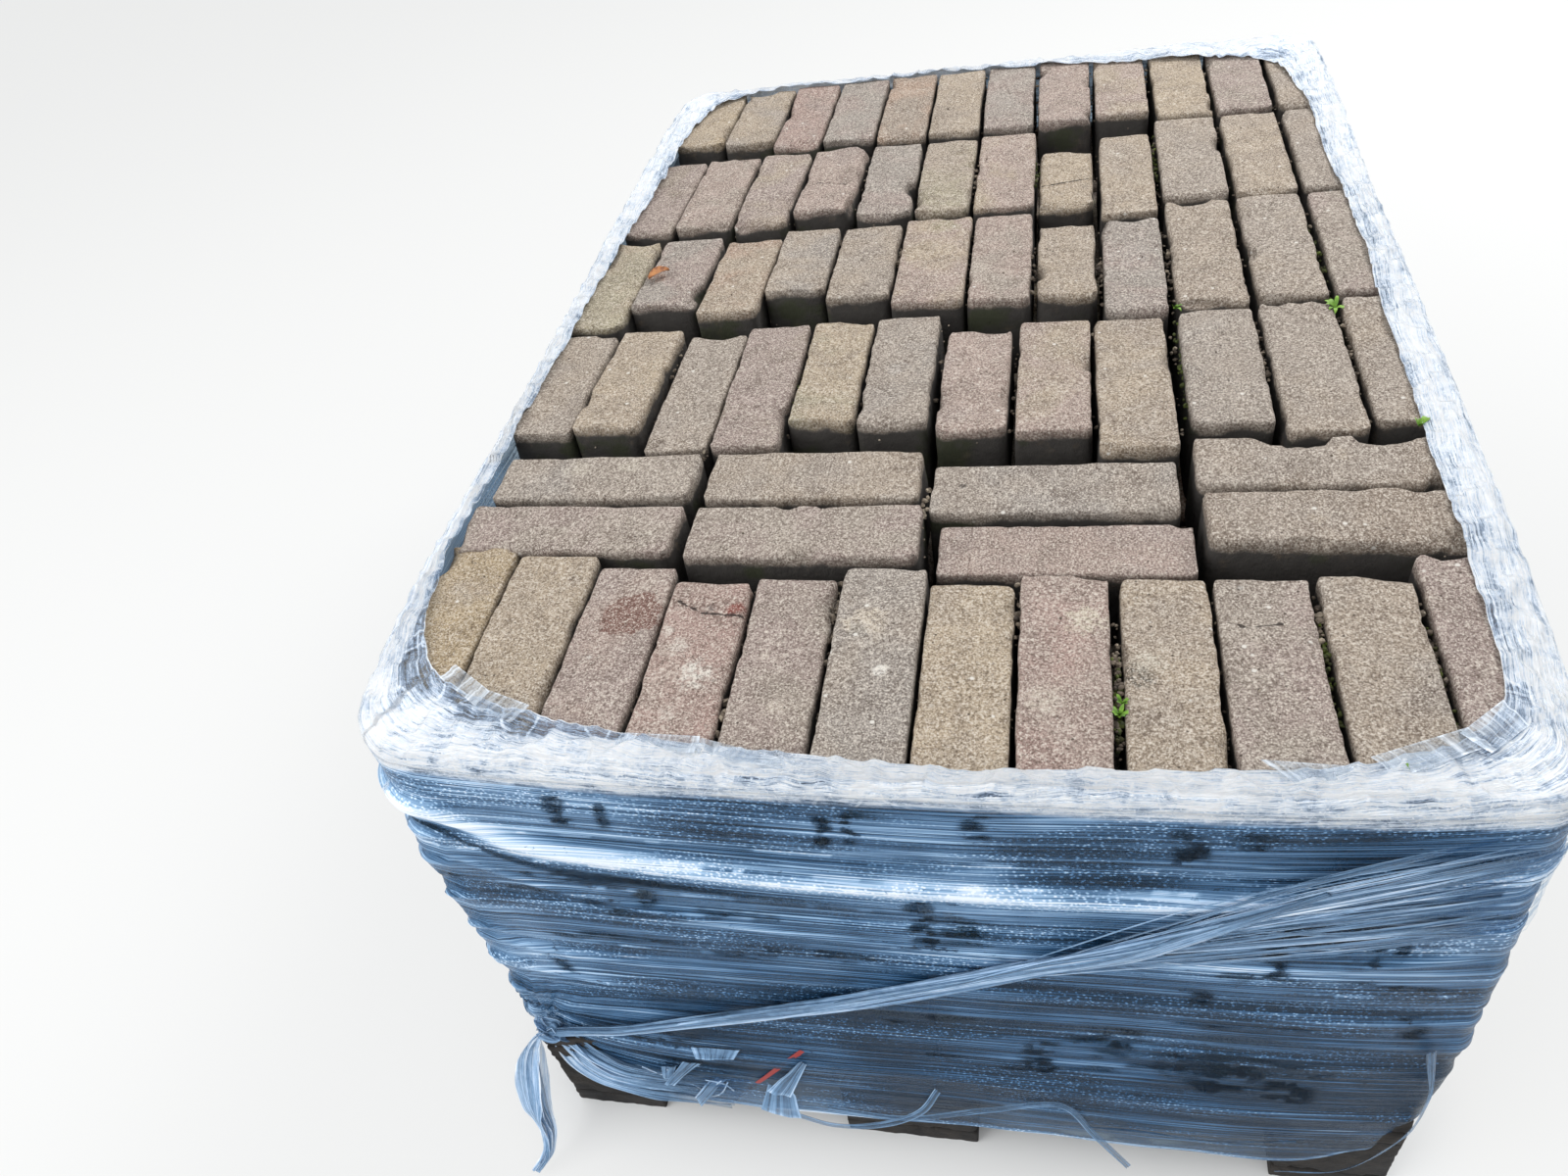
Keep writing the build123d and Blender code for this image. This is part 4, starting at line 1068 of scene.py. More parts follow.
def film_material():
    n = Nodes("film")
    flow, place = n.attribute("flow", "Vector"), n.place()
    haze, wet, rim = n.attribute("haze"), n.attribute("wet"), n.attribute("rim")
    # Streaks along the pull of the film, from hair lines to broad bands.
    hair, fine = n.streaks(flow, (5, 760), 3, 0.6, 0.15), n.streaks(flow, (2.6, 250), 4, 0.62, 0.25)
    broad, cloud = n.streaks(flow, (1.3, 40), 3, 0.55, 0.3), n.noise(place, 9, 3, 0.5)
    tone = haze * 0.70 + (hair - 0.5) * 1.5 + (fine - 0.5) * 1.3
    tone = tone + (broad - 0.5) * 0.9 + (cloud - 0.5) * 0.7 + 0.27
    # Painted shade: the lower part is darker, and most of all at the right.
    low = n.part(place, 2).steps(0.46, 0.14) * n.part(place, 0).steps(-0.45, 0.40, 0.35, 1.0)
    # Painted glints: thin bright streaks laid into the film's colour.
    painted_glint = n.streaks(flow, (7, 520), 2).steps(0.66, 0.74) * n.streaks(flow, (4, 34), 2).steps(0.50, 0.60)
    tone = tone - low * 0.46 + painted_glint * 0.55
    # Condensed drops in patches, and ragged wet marks.
    drops = n.spot(n.vector("MULTIPLY", place, (1, 1, 1.25)), 300)
    misty = n.streaks(flow, (5, 26), 3).steps(0.46, 0.58)
    tone = tone + drops.steps(0.34, 0.20) * misty * 0.22 - drops.steps(0.34, 0.50) * misty * 0.12
    torn = n.noise(n.vector("MULTIPLY", place, (1, 1, 2.2)), 78, 6, 0.74) - 0.5
    ragged_wet = n.math("MULTIPLY_ADD", torn, 2.9, wet * 0.60).steps(0.40, 0.54)
    tone = tone - ragged_wet * 0.26
    wall_color = n.tones(tone, [
        (0.0, srgb(14, 38, 60)), (0.25, srgb(44, 82, 118)), (0.50, srgb(92, 130, 168)),
        (0.74, srgb(164, 198, 230)), (1.0, srgb(240, 247, 255)),
    ])
    # The painted shade at the lower right also makes the film less clear there.
    wall_seen = n.math("ADD", tone.steps(-0.05, 0.75, 0.62, 0.97), low * 0.26, clamp=True)
    wall_seen = wall_seen * haze.steps(0.02, 0.20, 0.45, 1.0) * ragged_wet.steps(0.0, 1.0, 1.0, 0.80)
    # The rim: drawn white streaks along it, on soft crumpled facets.
    cast = n.add("ShaderNodeTexNoise", {"Vector": place, "Scale": 55.0, "Detail": 1.5}).outputs["Color"]
    warped = n.vector("ADD", place, n.vector("MULTIPLY", cast, (0.02, 0.02, 0.02)))
    large, small = n.spots(n.vector("MULTIPLY", warped, (1, 0.6, 1)), 70), n.spots(warped, 190)
    across = n.part(flow, 1) * 420.0 + n.part(flow, 2) * 20.0
    drawn_at = n.add("ShaderNodeCombineXYZ", {0: n.part(flow, 0), 1: across})
    drawn = n.streaks(drawn_at, (16, 1), 4, 0.6, 0.9)
    drawn_fine = n.streaks(drawn_at, (40, 3.2), 4, 0.65, 1.2)
    stroke = n.math("MAXIMUM", 1.0 - n.math("ABSOLUTE", drawn_fine - 0.5) * 9.0, 0.0)
    rim_tone = haze * 0.60 + (drawn - 0.5) * 1.5 + (n.noise(place, 38, 4, 0.6, 0.8) - 0.5) * 0.95
    facet, small_facet = n.channel(large["Color"], 0), n.channel(small["Color"], 1)
    rim_tone = rim_tone + (facet - 0.5) * 0.14 + (small_facet - 0.5) * 0.12
    rim_tone = rim_tone + stroke * haze.steps(0.1, 0.6, 0.14, 0.34)
    rim_tone = rim_tone + n.spot_edge(warped, 110.0).steps(0.05, 0.0) * 0.10
    # Long creases in the clear film near the free edge, and drops on the rim.
    long_edge = n.spot_edge(n.vector("ADD", place, n.vector("MULTIPLY", cast, (0.006, 0.006, 0.006))), 24.0)
    rim_tone = rim_tone + long_edge.steps(0.035, 0.010) * haze.steps(0.75, 0.35) * 0.26
    rim_tone = rim_tone + drops.steps(0.30, 0.18) * haze.steps(0.4, 0.7) * 0.22
    rim_color = n.tones(rim_tone, [
        (0.0, srgb(112, 132, 160)), (0.30, srgb(150, 174, 204)), (0.52, srgb(206, 220, 238)),
        (0.75, srgb(244, 248, 252)), (1.0, (0.97, 0.97, 0.97)),
    ])
    # Relief: each facet of the rim is tilted its own way.
    tilts = []
    for facets in (large, small):
        from_middle = n.vector("SUBTRACT", warped, facets["Position"])
        slope = n.vector("SUBTRACT", facets["Color"], (0.5, 0.5, 0.5))
        tilts.append(n.vector("DOT_PRODUCT", from_middle, slope))
    rim_height = tilts[0] * 40.0 + tilts[1] * 60.0 + drawn_fine * 2.2
    body = n.body(
        n.mix(rim, wall_color, rim_color), n.blend(rim, 0.24, 0.13), 0.42, (0.62, 0.82, 1.0),
        n.blend(rim, hair * 0.8 + fine * 1.7, rim_height), 0.8, 0.0015,
    )
    clear = n.add("ShaderNodeBsdfTransparent", {0: n.mix(rim, (0.58, 0.74, 0.90), (0.86, 0.90, 0.94))})
    return n.surface(n.over(n.blend(rim, wall_seen, rim_tone.steps(0.0, 0.62, 0.12, 0.98)), clear, body))


film_look = film_material()
CORNER_SHARES = [(k + 0.5) / 10 for k in range(10)]


def straight(side, spacing):
    """Columns along a straight side of the film, at a spacing."""
    count = int(SIDE_LENGTHS[side] / spacing)
    return [(side, i / count) for i in range(count + 1)]


def corner(k):
    """Columns round a corner of the film."""
    return [(4 + k, share) for share in CORNER_SHARES]


spacing = detail(0.010, 0.0068)
front_columns = corner(0) + straight(0, detail(0.005, 0.0030)) + corner(1)
back_columns = corner(2) + straight(2, spacing) + corner(3)
# Each piece starts on the last column of the piece before it.
sheets = {
    "stretch_film_front": front_columns,
    "stretch_film_right": [front_columns[-1]] + straight(1, spacing) + [back_columns[0]],
    "stretch_film_back": back_columns,
    "stretch_film_left": [back_columns[-1]] + straight(3, spacing) + [front_columns[0]],
}
for sheet_name, columns in sheets.items():
    sheet = film_piece(sheet_name, columns, detail(0.006, 0.0035), detail(34, 44))
    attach(sheet, "root")
    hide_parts("stretch_film")


# Tubes and ribbons of drawn film that follow given points.
INTO_LOAD = (0, 1, 0)


def lengths_along(path):
    return np.concatenate([[0], np.cumsum(np.linalg.norm(np.diff(path, axis=0), axis=1))])


def smooth_path(points, count):
    points = np.asarray(points, float)
    at = lengths_along(points)
    return np.stack(between(np.linspace(0, at[-1], count), np.column_stack([at, points])), 1)


def frames_along(path, up=INTO_LOAD):
    """Directions to the side of a path and over it."""
    tangent = np.gradient(path, axis=0)
    tangent /= np.linalg.norm(tangent, axis=1)[:, None]
    side = np.cross(tangent, np.array(up, float))
    side /= np.maximum(np.linalg.norm(side, axis=1), TINY)[:, None]
    return side, np.cross(side, tangent)


def tube(path, half_width, half_height, around, seed, ridges, haze):
    """A bundle of drawn film: points, quads, flow and haze, closed at its ends."""
    count = len(path)
    wide, high = (np.broadcast_to(a, count)[:, None] for a in (half_width, half_height))
    side, over = frames_along(path)
    angles = (np.arange(around) / around * 2 * math.pi)[None, :]
    at = lengths_along(path)[:, None]
    bumps = rough(at * 9 + seed, np.cos(angles) * 2.2 + seed, np.sin(angles) * 2.2 + 9)
    lump = 1 + ridges * (bumps - 0.5) * 2
    out, up = (np.cos(angles) * wide * lump)[..., None], (np.sin(angles) * high * lump)[..., None]
    p = path[:, None, :] + side[:, None, :] * out + over[:, None, :] * up
    index = grid_index(count, around)
    quads = [grid_quads(np.hstack([index, index[:, :1]]))]
    for ring in (index[0][::-1], index[-1]):
        quads.append([(ring[k], ring[k + 1], ring[-2 - k], ring[-1 - k]) for k in range(around // 2 - 1)])
    share = np.abs(np.broadcast_to(angles, (count, around)) - math.pi) / math.pi
    across = share * wide * 2 + seed * 0.1
    flow = np.stack([np.repeat(at, around, 1) + seed, across, np.zeros((count, around))], -1)
    haze = np.repeat(np.broadcast_to(haze, count), around)
    return p.reshape(-1, 3), np.concatenate(quads), flow.reshape(-1, 3), haze


def ribbon(path, width, across, seed, wave, roll=0.0, uneven=0.25, haze=0.6, folds=5.0, up=INTO_LOAD):
    """A gathered strip of film along a path: points, quads, flow and haze."""
    count = len(path)
    width, roll, haze = (np.broadcast_to(a, count)[:, None] for a in (width, roll, haze))
    side, over = frames_along(path, up)
    v = np.linspace(-0.5, 0.5, across)[None, :]
    at = lengths_along(path)[:, None]
    w = width * v * (1 + uneven * (noise(at * 18 + seed, v * 0 + seed, 3.0) - 0.5) * 2)
    lift = wave * (rough(at * 14 + seed, v * folds + seed, 4.4) - 0.5) * 2
    c, s = np.cos(roll), np.sin(roll)
    out, high = (w * c - lift * s)[..., None], (w * s + lift * c)[..., None]
    p = path[:, None, :] + side[:, None, :] * out + over[:, None, :] * high
    flow = np.stack([np.repeat(at, across, 1) + seed, w + seed * 0.1, np.zeros((count, across))], -1)
    edge = np.clip(np.abs(v) * 2 - 0.80, 0, 1) / 0.20
    haze = (haze + 0.35 * edge).ravel()
    return p.reshape(-1, 3), grid_quads(grid_index(count, across)), flow.reshape(-1, 3), haze


def scrap(corners, rows, cols, shape):
    """A small sheet between four corners. shape moves its points and gives its size, seed and haze."""
    v, w = unit_grid(rows, cols)
    weights = ((1 - v) * (1 - w), (1 - v) * w, v * w, v * (1 - w))
    p = sum(c * weight[..., None] for c, weight in zip(np.array(corners, float), weights))
    (long, wide), seed, haze = shape(p, v, w)
    flow = np.stack([v * long + seed, w * wide + seed, v * 0], -1)
    return in_row(p.reshape(-1, 3)), grid_quads(grid_index(rows, cols)), flow.reshape(-1, 3), haze.ravel()


def drawn_object(name, parts, material, node=None):
    points, faces, flow, haze = joined(parts)
    thing = make_object(name, points, faces, {"flow": flow, "haze": haze}, True, material)
    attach(thing, "root")
    if node:
        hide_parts(node)


def front_plane(z):
    """Where the film's front stands at a height, in the load's own measures."""
    return -between(np.asarray(z, float), FRONT_SIDE)


def on_front(points, out, count):
    """A smooth path on the front of the film through (across, height) pairs."""
    line = smooth_path([(x, 0, z) for x, z in points], count)
    line[:, 1] = front_plane(line[:, 2]) - out
    for (pull, reach), away in zip(CORNER_PULL[:2], (line[:, 0], 0.81 - line[:, 0])):
        line[:, 1] += drawn_in(pull, reach, np.maximum(away, 0), 0)
    return in_row(line)


def on_film(along, height, out):
    """Points a little outside the film, at ways round on its front or right side and at heights."""
    points = []
    for u, h in zip(along, height):
        if u < WIDE - HALF_TURN:
            column = (0, (u - HALF_TURN) / (WIDE - 2 * HALF_TURN))
        elif u < WIDE + HALF_TURN:
            column = (5, (u - WIDE + HALF_TURN) / (2 * HALF_TURN))
        else:
            column = (1, (u - WIDE - HALF_TURN) / (DEEP - 2 * HALF_TURN))
        x, y, nx, ny = (float(a[0, 0]) for a in outline([min(h, 0.0)], [column]))
        points.append((x + nx * out, y + ny * out, h + TOP))
    return np.array(points)


# Drawn film: the rope across the front, its fan, its knot, its hanging tail, and torn scraps.
def drawn_material(name, stops, least):
    n = Nodes(name)
    flow, haze = n.attribute("flow", "Vector"), n.attribute("haze")
    hair, fine = n.streaks(flow, (5, 1100), 3, 0.6, 0.1), n.streaks(flow, (4, 380), 4, 0.6, 0.3)
    cross = n.streaks(flow, (60, 160), 4, 0.6, 0.6)
    tone = n.math("MAXIMUM", haze, 0.36) * 0.85 + (hair - 0.5) * 1.2
    tone = tone + (fine - 0.5) * 1.1 + (cross - 0.5) * 0.45
    height = hair * 0.6 + fine * 1.5 + cross * 0.7
    body = n.body(n.tones(tone, stops), 0.22, 0.48, (0.68, 0.85, 1.0), height, 0.9, 0.0018)
    clear = n.add("ShaderNodeBsdfTransparent", {0: (0.86, 0.90, 0.94)})
    return n.surface(n.over(tone.steps(0.0, 0.8, least, 0.97) * haze.steps(-0.35, 0.30), clear, body))


drawn_look = drawn_material("film_drawn", [
    (0.0, srgb(52, 71, 92)), (0.25, srgb(82, 111, 141)), (0.50, srgb(118, 153, 188)),
    (0.76, srgb(176, 204, 234)), (1.0, srgb(244, 250, 255)),
], 0.62)
clear_look = drawn_material("film_clear", [
    (0.0, srgb(170, 176, 184)), (0.5, srgb(214, 222, 230)), (1.0, srgb(255, 255, 255)),
], 0.16)

ROPE_LINE = [
    (0.045, -0.398), (0.070, -0.388), (0.120, -0.374), (0.200, -0.345), (0.300, -0.305), (0.400, -0.255),
    (0.500, -0.200), (0.550, -0.175), (0.600, -0.140), (0.640, -0.110), (0.675, -0.082),
]
rope_path = on_front(ROPE_LINE, 0.0048, 170)
share = np.linspace(0, 1, len(rope_path))
ending = 1 - 0.93 * ramp(share, 0.78, 1.0)
rope_width = (0.0058 + 0.0026 * ramp(share, 0.1, 0.5) + 0.0030 * ramp(share, 0.5, 0.8)) * ending
rope_height = (0.0036 - 0.0016 * ramp(share, 0.45, 0.85)) * ending
gone = 0.55 * ramp(share, 0.86, 1.0)
rope = [tube(rope_path, rope_width, rope_height, 26, 1.7, 0.45, 0.28 + 0.44 * ramp(share, 0.15, 0.6) - gone)]
rng = np.random.default_rng(5)
rope_side, _ = frames_along(rope_path)
for k in range(6):
    wander = (k / 5 - 0.5) * 1.5 + 0.5 * np.sin(share * (9 + k) + k * 1.9)
    path = rope_path + rope_side * (rope_width * wander * 0.8)[:, None]
    path[:, 1] -= rope_height * 0.75
    haze = 0.45 + 0.3 * rng.random() - 0.8 * gone
    rope.append(tube(path, 0.0015 + 0.0010 * share, 0.0010, 8, k * 3.1, 0.3, haze))
drawn_object("film_rope_bundle", rope, drawn_look, "film_rope")

# The rope opens into a fan of drawn strands at the upper right corner.
STRANDS = 64
fan = []
grow = np.linspace(0, 1, 40)
for k in range(STRANDS):
    t = k / (STRANDS - 1)
    leaves_at = 0.43 + 0.21 * rng.random()
    i = int(np.interp(leaves_at, rope_path[:, 0] - LEFT, np.arange(len(rope_path))))
    x0, z0 = rope_path[i, 0] - LEFT, rope_path[i, 2] - TOP
    end_u, end_z = 0.775 + 0.080 * rng.random(), -0.022 - 0.098 * t ** 1.05
    bend = (0.10 + 0.28 * rng.random()) * np.sin(np.pi * grow) * (0.5 - 0.4 * t)
    height = z0 + 0.012 * (0.5 - t) + (end_z - z0) * (grow + bend)
    path = on_film(x0 + (end_u - x0) * grow, height, 0.0040 + 0.0012 * rng.random())
    width = (0.0012 + 0.0050 * rng.random() ** 2) * (0.35 + 0.9 * grow)
    haze = 0.28 + 0.46 * rng.random() ** 1.5
    haze = haze - 0.95 * ramp(grow, 0.70, 1.0) - 0.30 * (1 - ramp(grow, 0.0, 0.15))
    fan.append(ribbon(path, width, 4, 2.2 * k, 0.0006, 0.0, 0.2, haze))
drawn_object("film_rope_fan", fan, drawn_look)

KNOT = np.array([0.044, 0.004, -0.398])
knot = []
for k in range(10):
    loop = rng.normal(size=(5, 3)) * np.array([0.007, 0.004, 0.008])
    loop[:, 1] = -np.abs(loop[:, 1]) - 0.004
    loop += KNOT + np.array([0.004 * math.sin(k * 2.2), -0.004, 0.006 * math.cos(k * 2.2)])
    knot.append(ribbon(in_row(smooth_path(loop, 30)), 0.010, 7, 1.7 * k, 0.003, 0.6 * k, 0.3, 0.55, 6.0))
drawn_object("film_knot", knot, drawn_look)

TAIL_LINE = [
    (0.044, -0.004, -0.396), (0.030, -0.014, -0.406), (0.019, -0.022, -0.430), (0.014, -0.036, -0.462),
    (0.016, -0.052, -0.490), (0.023, -0.064, -0.514), (0.021, -0.075, -0.531), (0.009, -0.086, -0.546),
]
tail_path = in_row(smooth_path(TAIL_LINE, 110))
share = np.linspace(0, 1, len(tail_path))
width = 0.010 + 0.019 * ramp(share, 0.05, 0.48) - 0.020 * ramp(share, 0.58, 0.86)
parting = (ramp(share, 0.0, 0.3) * (1 - 0.6 * ramp(share, 0.6, 1.0)))[:, None]
tail = []
for k in range(4):
    path = tail_path + np.array([(k - 1.5) * 0.0035, 0.003 * k, 0.001 * k]) * parting
    roll = 0.40 * np.sin(share * 6 + k * 1.6)
    tail.append(ribbon(
        path, width * (1 - 0.14 * k), 13, 3.3 * k, 0.0045, roll, 0.25, 0.72 + 0.10 * k, 4.0, (0, 1, 0.35),
    ))
drawn_object("film_tail_strip", tail, drawn_look, "film_tail")

# The film gathered from the knot down under the deck, and loose edges below it.
gathers = []
for k in range(9):
    drop = k * 0.0042
    path = in_row(smooth_path([
        (0.046, 0.000, -0.402), (0.043 + drop * 0.5, -0.004, -0.428 + drop * 0.4),
        (0.049 + drop, -0.011, -0.460 + drop * 0.9), (0.068 + drop * 1.2, -0.016, -0.481 + drop * 1.2),
        (0.103 + drop * 1.4, -0.020, -0.490 + drop * 1.5), (0.150 + drop, -0.022, -0.493 + drop * 1.7),
        (0.205 + drop, -0.022, -0.494 + drop * 2.0),
    ], 70))
    grow = np.linspace(0, 1, len(path))
    haze = 0.86 - 0.05 * k - 0.95 * ramp(grow, 0.30, 1.0)
    gathers.append(ribbon(path, 0.019 - 0.012 * grow, 9, 1.3 * k, 0.003, 0.5 * math.sin(k * 2.0), 0.3, haze))
for points in (
    [
        (0.262, -0.020, -0.500), (0.300, -0.024, -0.507), (0.347, -0.026, -0.490), (0.390, -0.023, -0.455),
        (0.406, -0.018, -0.420),
    ],
    [
        (0.300, -0.019, -0.480), (0.370, -0.022, -0.478), (0.450, -0.022, -0.440), (0.513, -0.020, -0.420),
        (0.540, -0.024, -0.465), (0.570, -0.030, -0.512),
    ],
    [
        (0.775, -0.006, -0.290), (0.786, -0.010, -0.364), (0.778, -0.014, -0.435), (0.735, -0.022, -0.492),
        (0.690, -0.024, -0.500),
    ],
    [(0.700, -0.021, -0.440), (0.640, -0.022, -0.455), (0.560, -0.022, -0.452), (0.480, -0.022, -0.462)],
):
    path = in_row(smooth_path(points, 60))
    gathers.append(ribbon(path, 0.0060, 7, points[0][0] * 9, 0.0018, 0.5, 0.35, 0.16))
drawn_object("film_foot_gathers", gathers, drawn_look)


# Torn flaps and threads at the torn place.
def flap(corners, seed, out):
    """A small curled scrap of film between four corners on the front."""
    def shape(p, v, w):
        curl = out * v ** 1.5 + 0.003 * (noise(v * 3 + seed, w * 3, seed) - 0.3)
        p[..., 1] = front_plane(p[..., 2]) - 0.002 - curl
        edge = np.minimum(np.minimum(w, 1 - w), 1 - v) < 0.08
        return (0.03, 0.01), seed, 0.42 + 0.30 * edge

    return scrap([(x, 0, z) for x, z in corners], 10, 8, shape)


flaps = [
    flap([(0.174, -0.412), (0.192, -0.410), (0.160, -0.446), (0.150, -0.446)], 1.0, 0.006),
    flap([(0.196, -0.438), (0.212, -0.436), (0.178, -0.486), (0.175, -0.468)], 2.0, 0.008),
    flap([(0.186, -0.388), (0.232, -0.386), (0.226, -0.394), (0.190, -0.396)], 3.0, 0.004),
    flap([(0.286, -0.392), (0.292, -0.396), (0.272, -0.444), (0.250, -0.440)], 4.0, 0.006),
    flap([(0.250, -0.440), (0.272, -0.444), (0.276, -0.486), (0.240, -0.470)], 5.0, 0.010),
    flap([(0.150, -0.425), (0.166, -0.420), (0.158, -0.440), (0.150, -0.438)], 6.0, 0.004),
]
for points in (
    [(0.176, -0.484), (0.190, -0.462), (0.206, -0.438)], [(0.178, -0.486), (0.198, -0.470), (0.212, -0.440)],
    [(0.130, -0.430), (0.150, -0.440), (0.156, -0.428)], [(0.190, -0.440), (0.208, -0.446), (0.214, -0.458)],
    [(0.140, -0.452), (0.176, -0.456), (0.184, -0.470)],
):
    flaps.append(tube(on_front(points, 0.004, 24), 0.0007, 0.0007, 6, points[0][0] * 7, 0.2, 1.0))
drawn_object("film_torn_flaps", flaps, drawn_look)

n = Nodes("red_strip")
n.surface(n.body(srgb(150, 38, 34), 0.45))
strip_path = on_front([(0.212, -0.482), (0.236, -0.446), (0.262, -0.412), (0.290, -0.380)], 0.0008, 40)
drawn_object("red_strip", [ribbon(strip_path, 0.0048, 5, 2.0, 0.0008)], n.material)


# Clear folded corners of film lying on the bricks at the free edge.
def fold(corners, seed, haze):
    """A thin sheet between four corners, given across and into the load, with lifts above its top."""
    def shape(p, v, w):
        p[..., 2] += 0.004 * (rough(v * 4 + seed, w * 3, seed, 2) - 0.5) * np.sin(np.pi * v)
        edge = (np.minimum(w, 1 - w) < 0.04) | (np.minimum(v, 1 - v) < 0.04)
        return (0.06, 0.012), seed, haze + 0.45 * edge

    return scrap(corners, 14, 10, shape)


folds = [
    fold([
        (0.690, 0.031, 0.0085), (0.747, 0.054, 0.0110), (0.758, 0.043, 0.0080), (0.703, 0.018, 0.0060),
    ], 1.0, 0.05),
    fold([
        (0.742, 0.050, 0.0100), (0.772, 0.078, 0.0090), (0.782, 0.060, 0.0070), (0.757, 0.038, 0.0070),
    ], 2.0, 0.15),
    fold([
        (0.628, 0.027, 0.0075), (0.680, 0.024, 0.0080), (0.676, 0.016, 0.0060), (0.646, 0.012, 0.0050),
    ], 3.0, 0.02),
    fold([
        (0.066, 0.088, 0.0100), (0.104, 0.062, 0.0110), (0.096, 0.050, 0.0080), (0.055, 0.078, 0.0070),
    ], 4.0, 0.10),
    fold([
        (0.102, 0.064, 0.0100), (0.140, 0.050, 0.0110), (0.128, 0.036, 0.0080), (0.092, 0.050, 0.0070),
    ], 5.0, 0.00),
    fold([
        (0.215, 0.030, 0.0090), (0.272, 0.029, 0.0090), (0.270, 0.016, 0.0070), (0.212, 0.018, 0.0070),
    ], 6.0, 0.00),
    fold([
        (0.270, 0.029, 0.0080), (0.348, 0.010, 0.0075), (0.335, 0.006, 0.0065), (0.272, 0.016, 0.0065),
    ], 7.0, 0.05),
]
drawn_object("film_edge_folds", folds, clear_look)


# Litter on the load: crumbs in the joints, moss, weeds and a dry leaf.
def litter_material(name, tones, roughness=0.9):
    n = Nodes(name)
    pick = n.channel(n.spots(n.place(), 240)["Color"], 0)
    color = n.tones(pick, [(k / (len(tones) - 1), tone) for k, tone in enumerate(tones)])
    return n.surface(n.body(color, roughness))


def lump():
    """Points and triangles of a ball: an octahedron with each face cut in four."""
    ends = np.array([(0, 0, 1), (1, 0, 0), (0, 1, 0), (-1, 0, 0), (0, -1, 0), (0, 0, -1)], float)
    faces = np.array([(0, 1, 2), (0, 2, 3), (0, 3, 4), (0, 4, 1), (5, 2, 1), (5, 3, 2), (5, 4, 3), (5, 1, 4)])
    halfway = (ends[faces] + ends[faces[:, [1, 2, 0]]]) / 2
    points = np.concatenate([ends, halfway.reshape(-1, 3)])
    points, same = np.unique(points.round(6), axis=0, return_inverse=True)
    out = []
    for f, (i, j, k) in enumerate(faces):
        ij, jk, ki = (len(ends) + f * 3 + m for m in range(3))
        out += [(i, ij, ki), (ij, j, jk), (ki, jk, k), (ij, jk, ki)]
    return points / np.linalg.norm(points, axis=1)[:, None], same.ravel()[np.array(out)]


LUMP_POINTS, LUMP_FACES = lump()


def litter(name, spots, material, seed):
    """Many small lumps in one object. spots: place in the load's own measures, size, flatness."""
    rng = np.random.default_rng(seed)
    lumps = []
    for x, y, z, size, flat in spots:
        turn = np.linalg.qr(rng.normal(size=(3, 3)))[0]
        p = LUMP_POINTS * (1 + 0.5 * (rng.random((len(LUMP_POINTS), 1)) - 0.5)) * size
        p = p * np.array([1, 0.7 + 0.4 * rng.random(), 0.7])
        lumps.append((p @ turn * np.array([1, 1, flat]) + np.array([x, y, z]), LUMP_FACES))
    points, faces = joined(lumps)
    thing = make_object(name, in_row(points), faces, smooth=False, material=material)
    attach(thing, "root")


rng = np.random.default_rng(21)
crumbs, moss = [], []
for row_name, row in TOP_BRICKS.items():
    for entry, after in zip(row[:-1], row[1:]):
        if row_name == "b" or after[2] < entry[3] - 20:
            continue
        x = (entry[3] + after[2]) / 2000
        y0, y1 = max(entry[4], after[4]) / 1000 + 0.006, min(entry[5], after[5]) / 1000 - 0.006
        for _ in range(6 + int(22 * rng.random() ** 2)):
            size = 0.0010 + 0.0016 * rng.random() ** 2
            at = (x + rng.normal() * 0.0012, y0 + (y1 - y0) * rng.random(), -0.006 - 0.012 * rng.random())
            crumbs.append((*at, size, 0.8))
for x, y, spread, count in (
    (0.346, 0.155, 0.030, 46), (0.547, 0.095, 0.040, 60), (0.681, 0.150, 0.030, 24),
    (0.747, 0.130, 0.030, 20), (0.279, 0.060, 0.020, 14), (0.479, 0.160, 0.020, 14),
    (0.200, 0.358, 0.010, 8), (0.402, 0.280, 0.030, 16), (0.548, 0.640, 0.040, 24),
    (0.612, 0.650, 0.050, 24), (0.413, 0.860, 0.030, 14), (0.680, 0.470, 0.040, 26),
    (0.750, 0.470, 0.040, 26), (0.480, 0.640, 0.030, 16), (0.342, 0.690, 0.030, 16),
):
    for _ in range(count):
        size = 0.0012 + 0.0024 * rng.random() ** 2
        at = (x + rng.normal() * 0.0016, y + rng.normal() * spread * 0.6, -0.003 - 0.006 * rng.random())
        crumbs.append((*at, size, 0.8))
for _ in range(150):
    at = (0.02 + 0.76 * rng.random(), 0.06 + 1.05 * rng.random(), 0.0030 + 0.001 * rng.random())
    crumbs.append((*at, 0.0006 + 0.0008 * rng.random() ** 2, 0.8))
litter("crumbs", crumbs, litter_material("crumbs", [
    srgb(58, 50, 44), srgb(110, 98, 84), srgb(84, 74, 64), srgb(150, 138, 120),
]), 3)
for x, y, spread, count in (
    (0.547, 0.085, 0.030, 90), (0.681, 0.120, 0.050, 50), (0.747, 0.100, 0.050, 50),
    (0.612, 0.470, 0.060, 36), (0.749, 0.640, 0.060, 36), (0.270, 0.470, 0.040, 20),
    (0.480, 0.870, 0.030, 20), (0.610, 0.870, 0.050, 30),
):
    for _ in range(count):
        at = (x + rng.normal() * 0.0014, y + rng.normal() * spread * 0.6, -0.005 - 0.007 * rng.random())
        moss.append((*at, 0.0010 + 0.0014 * rng.random(), 1.0))
litter("moss", moss, litter_material("moss", [
    srgb(46, 52, 26), srgb(74, 84, 36), srgb(60, 58, 34), srgb(96, 110, 44),
]), 4)


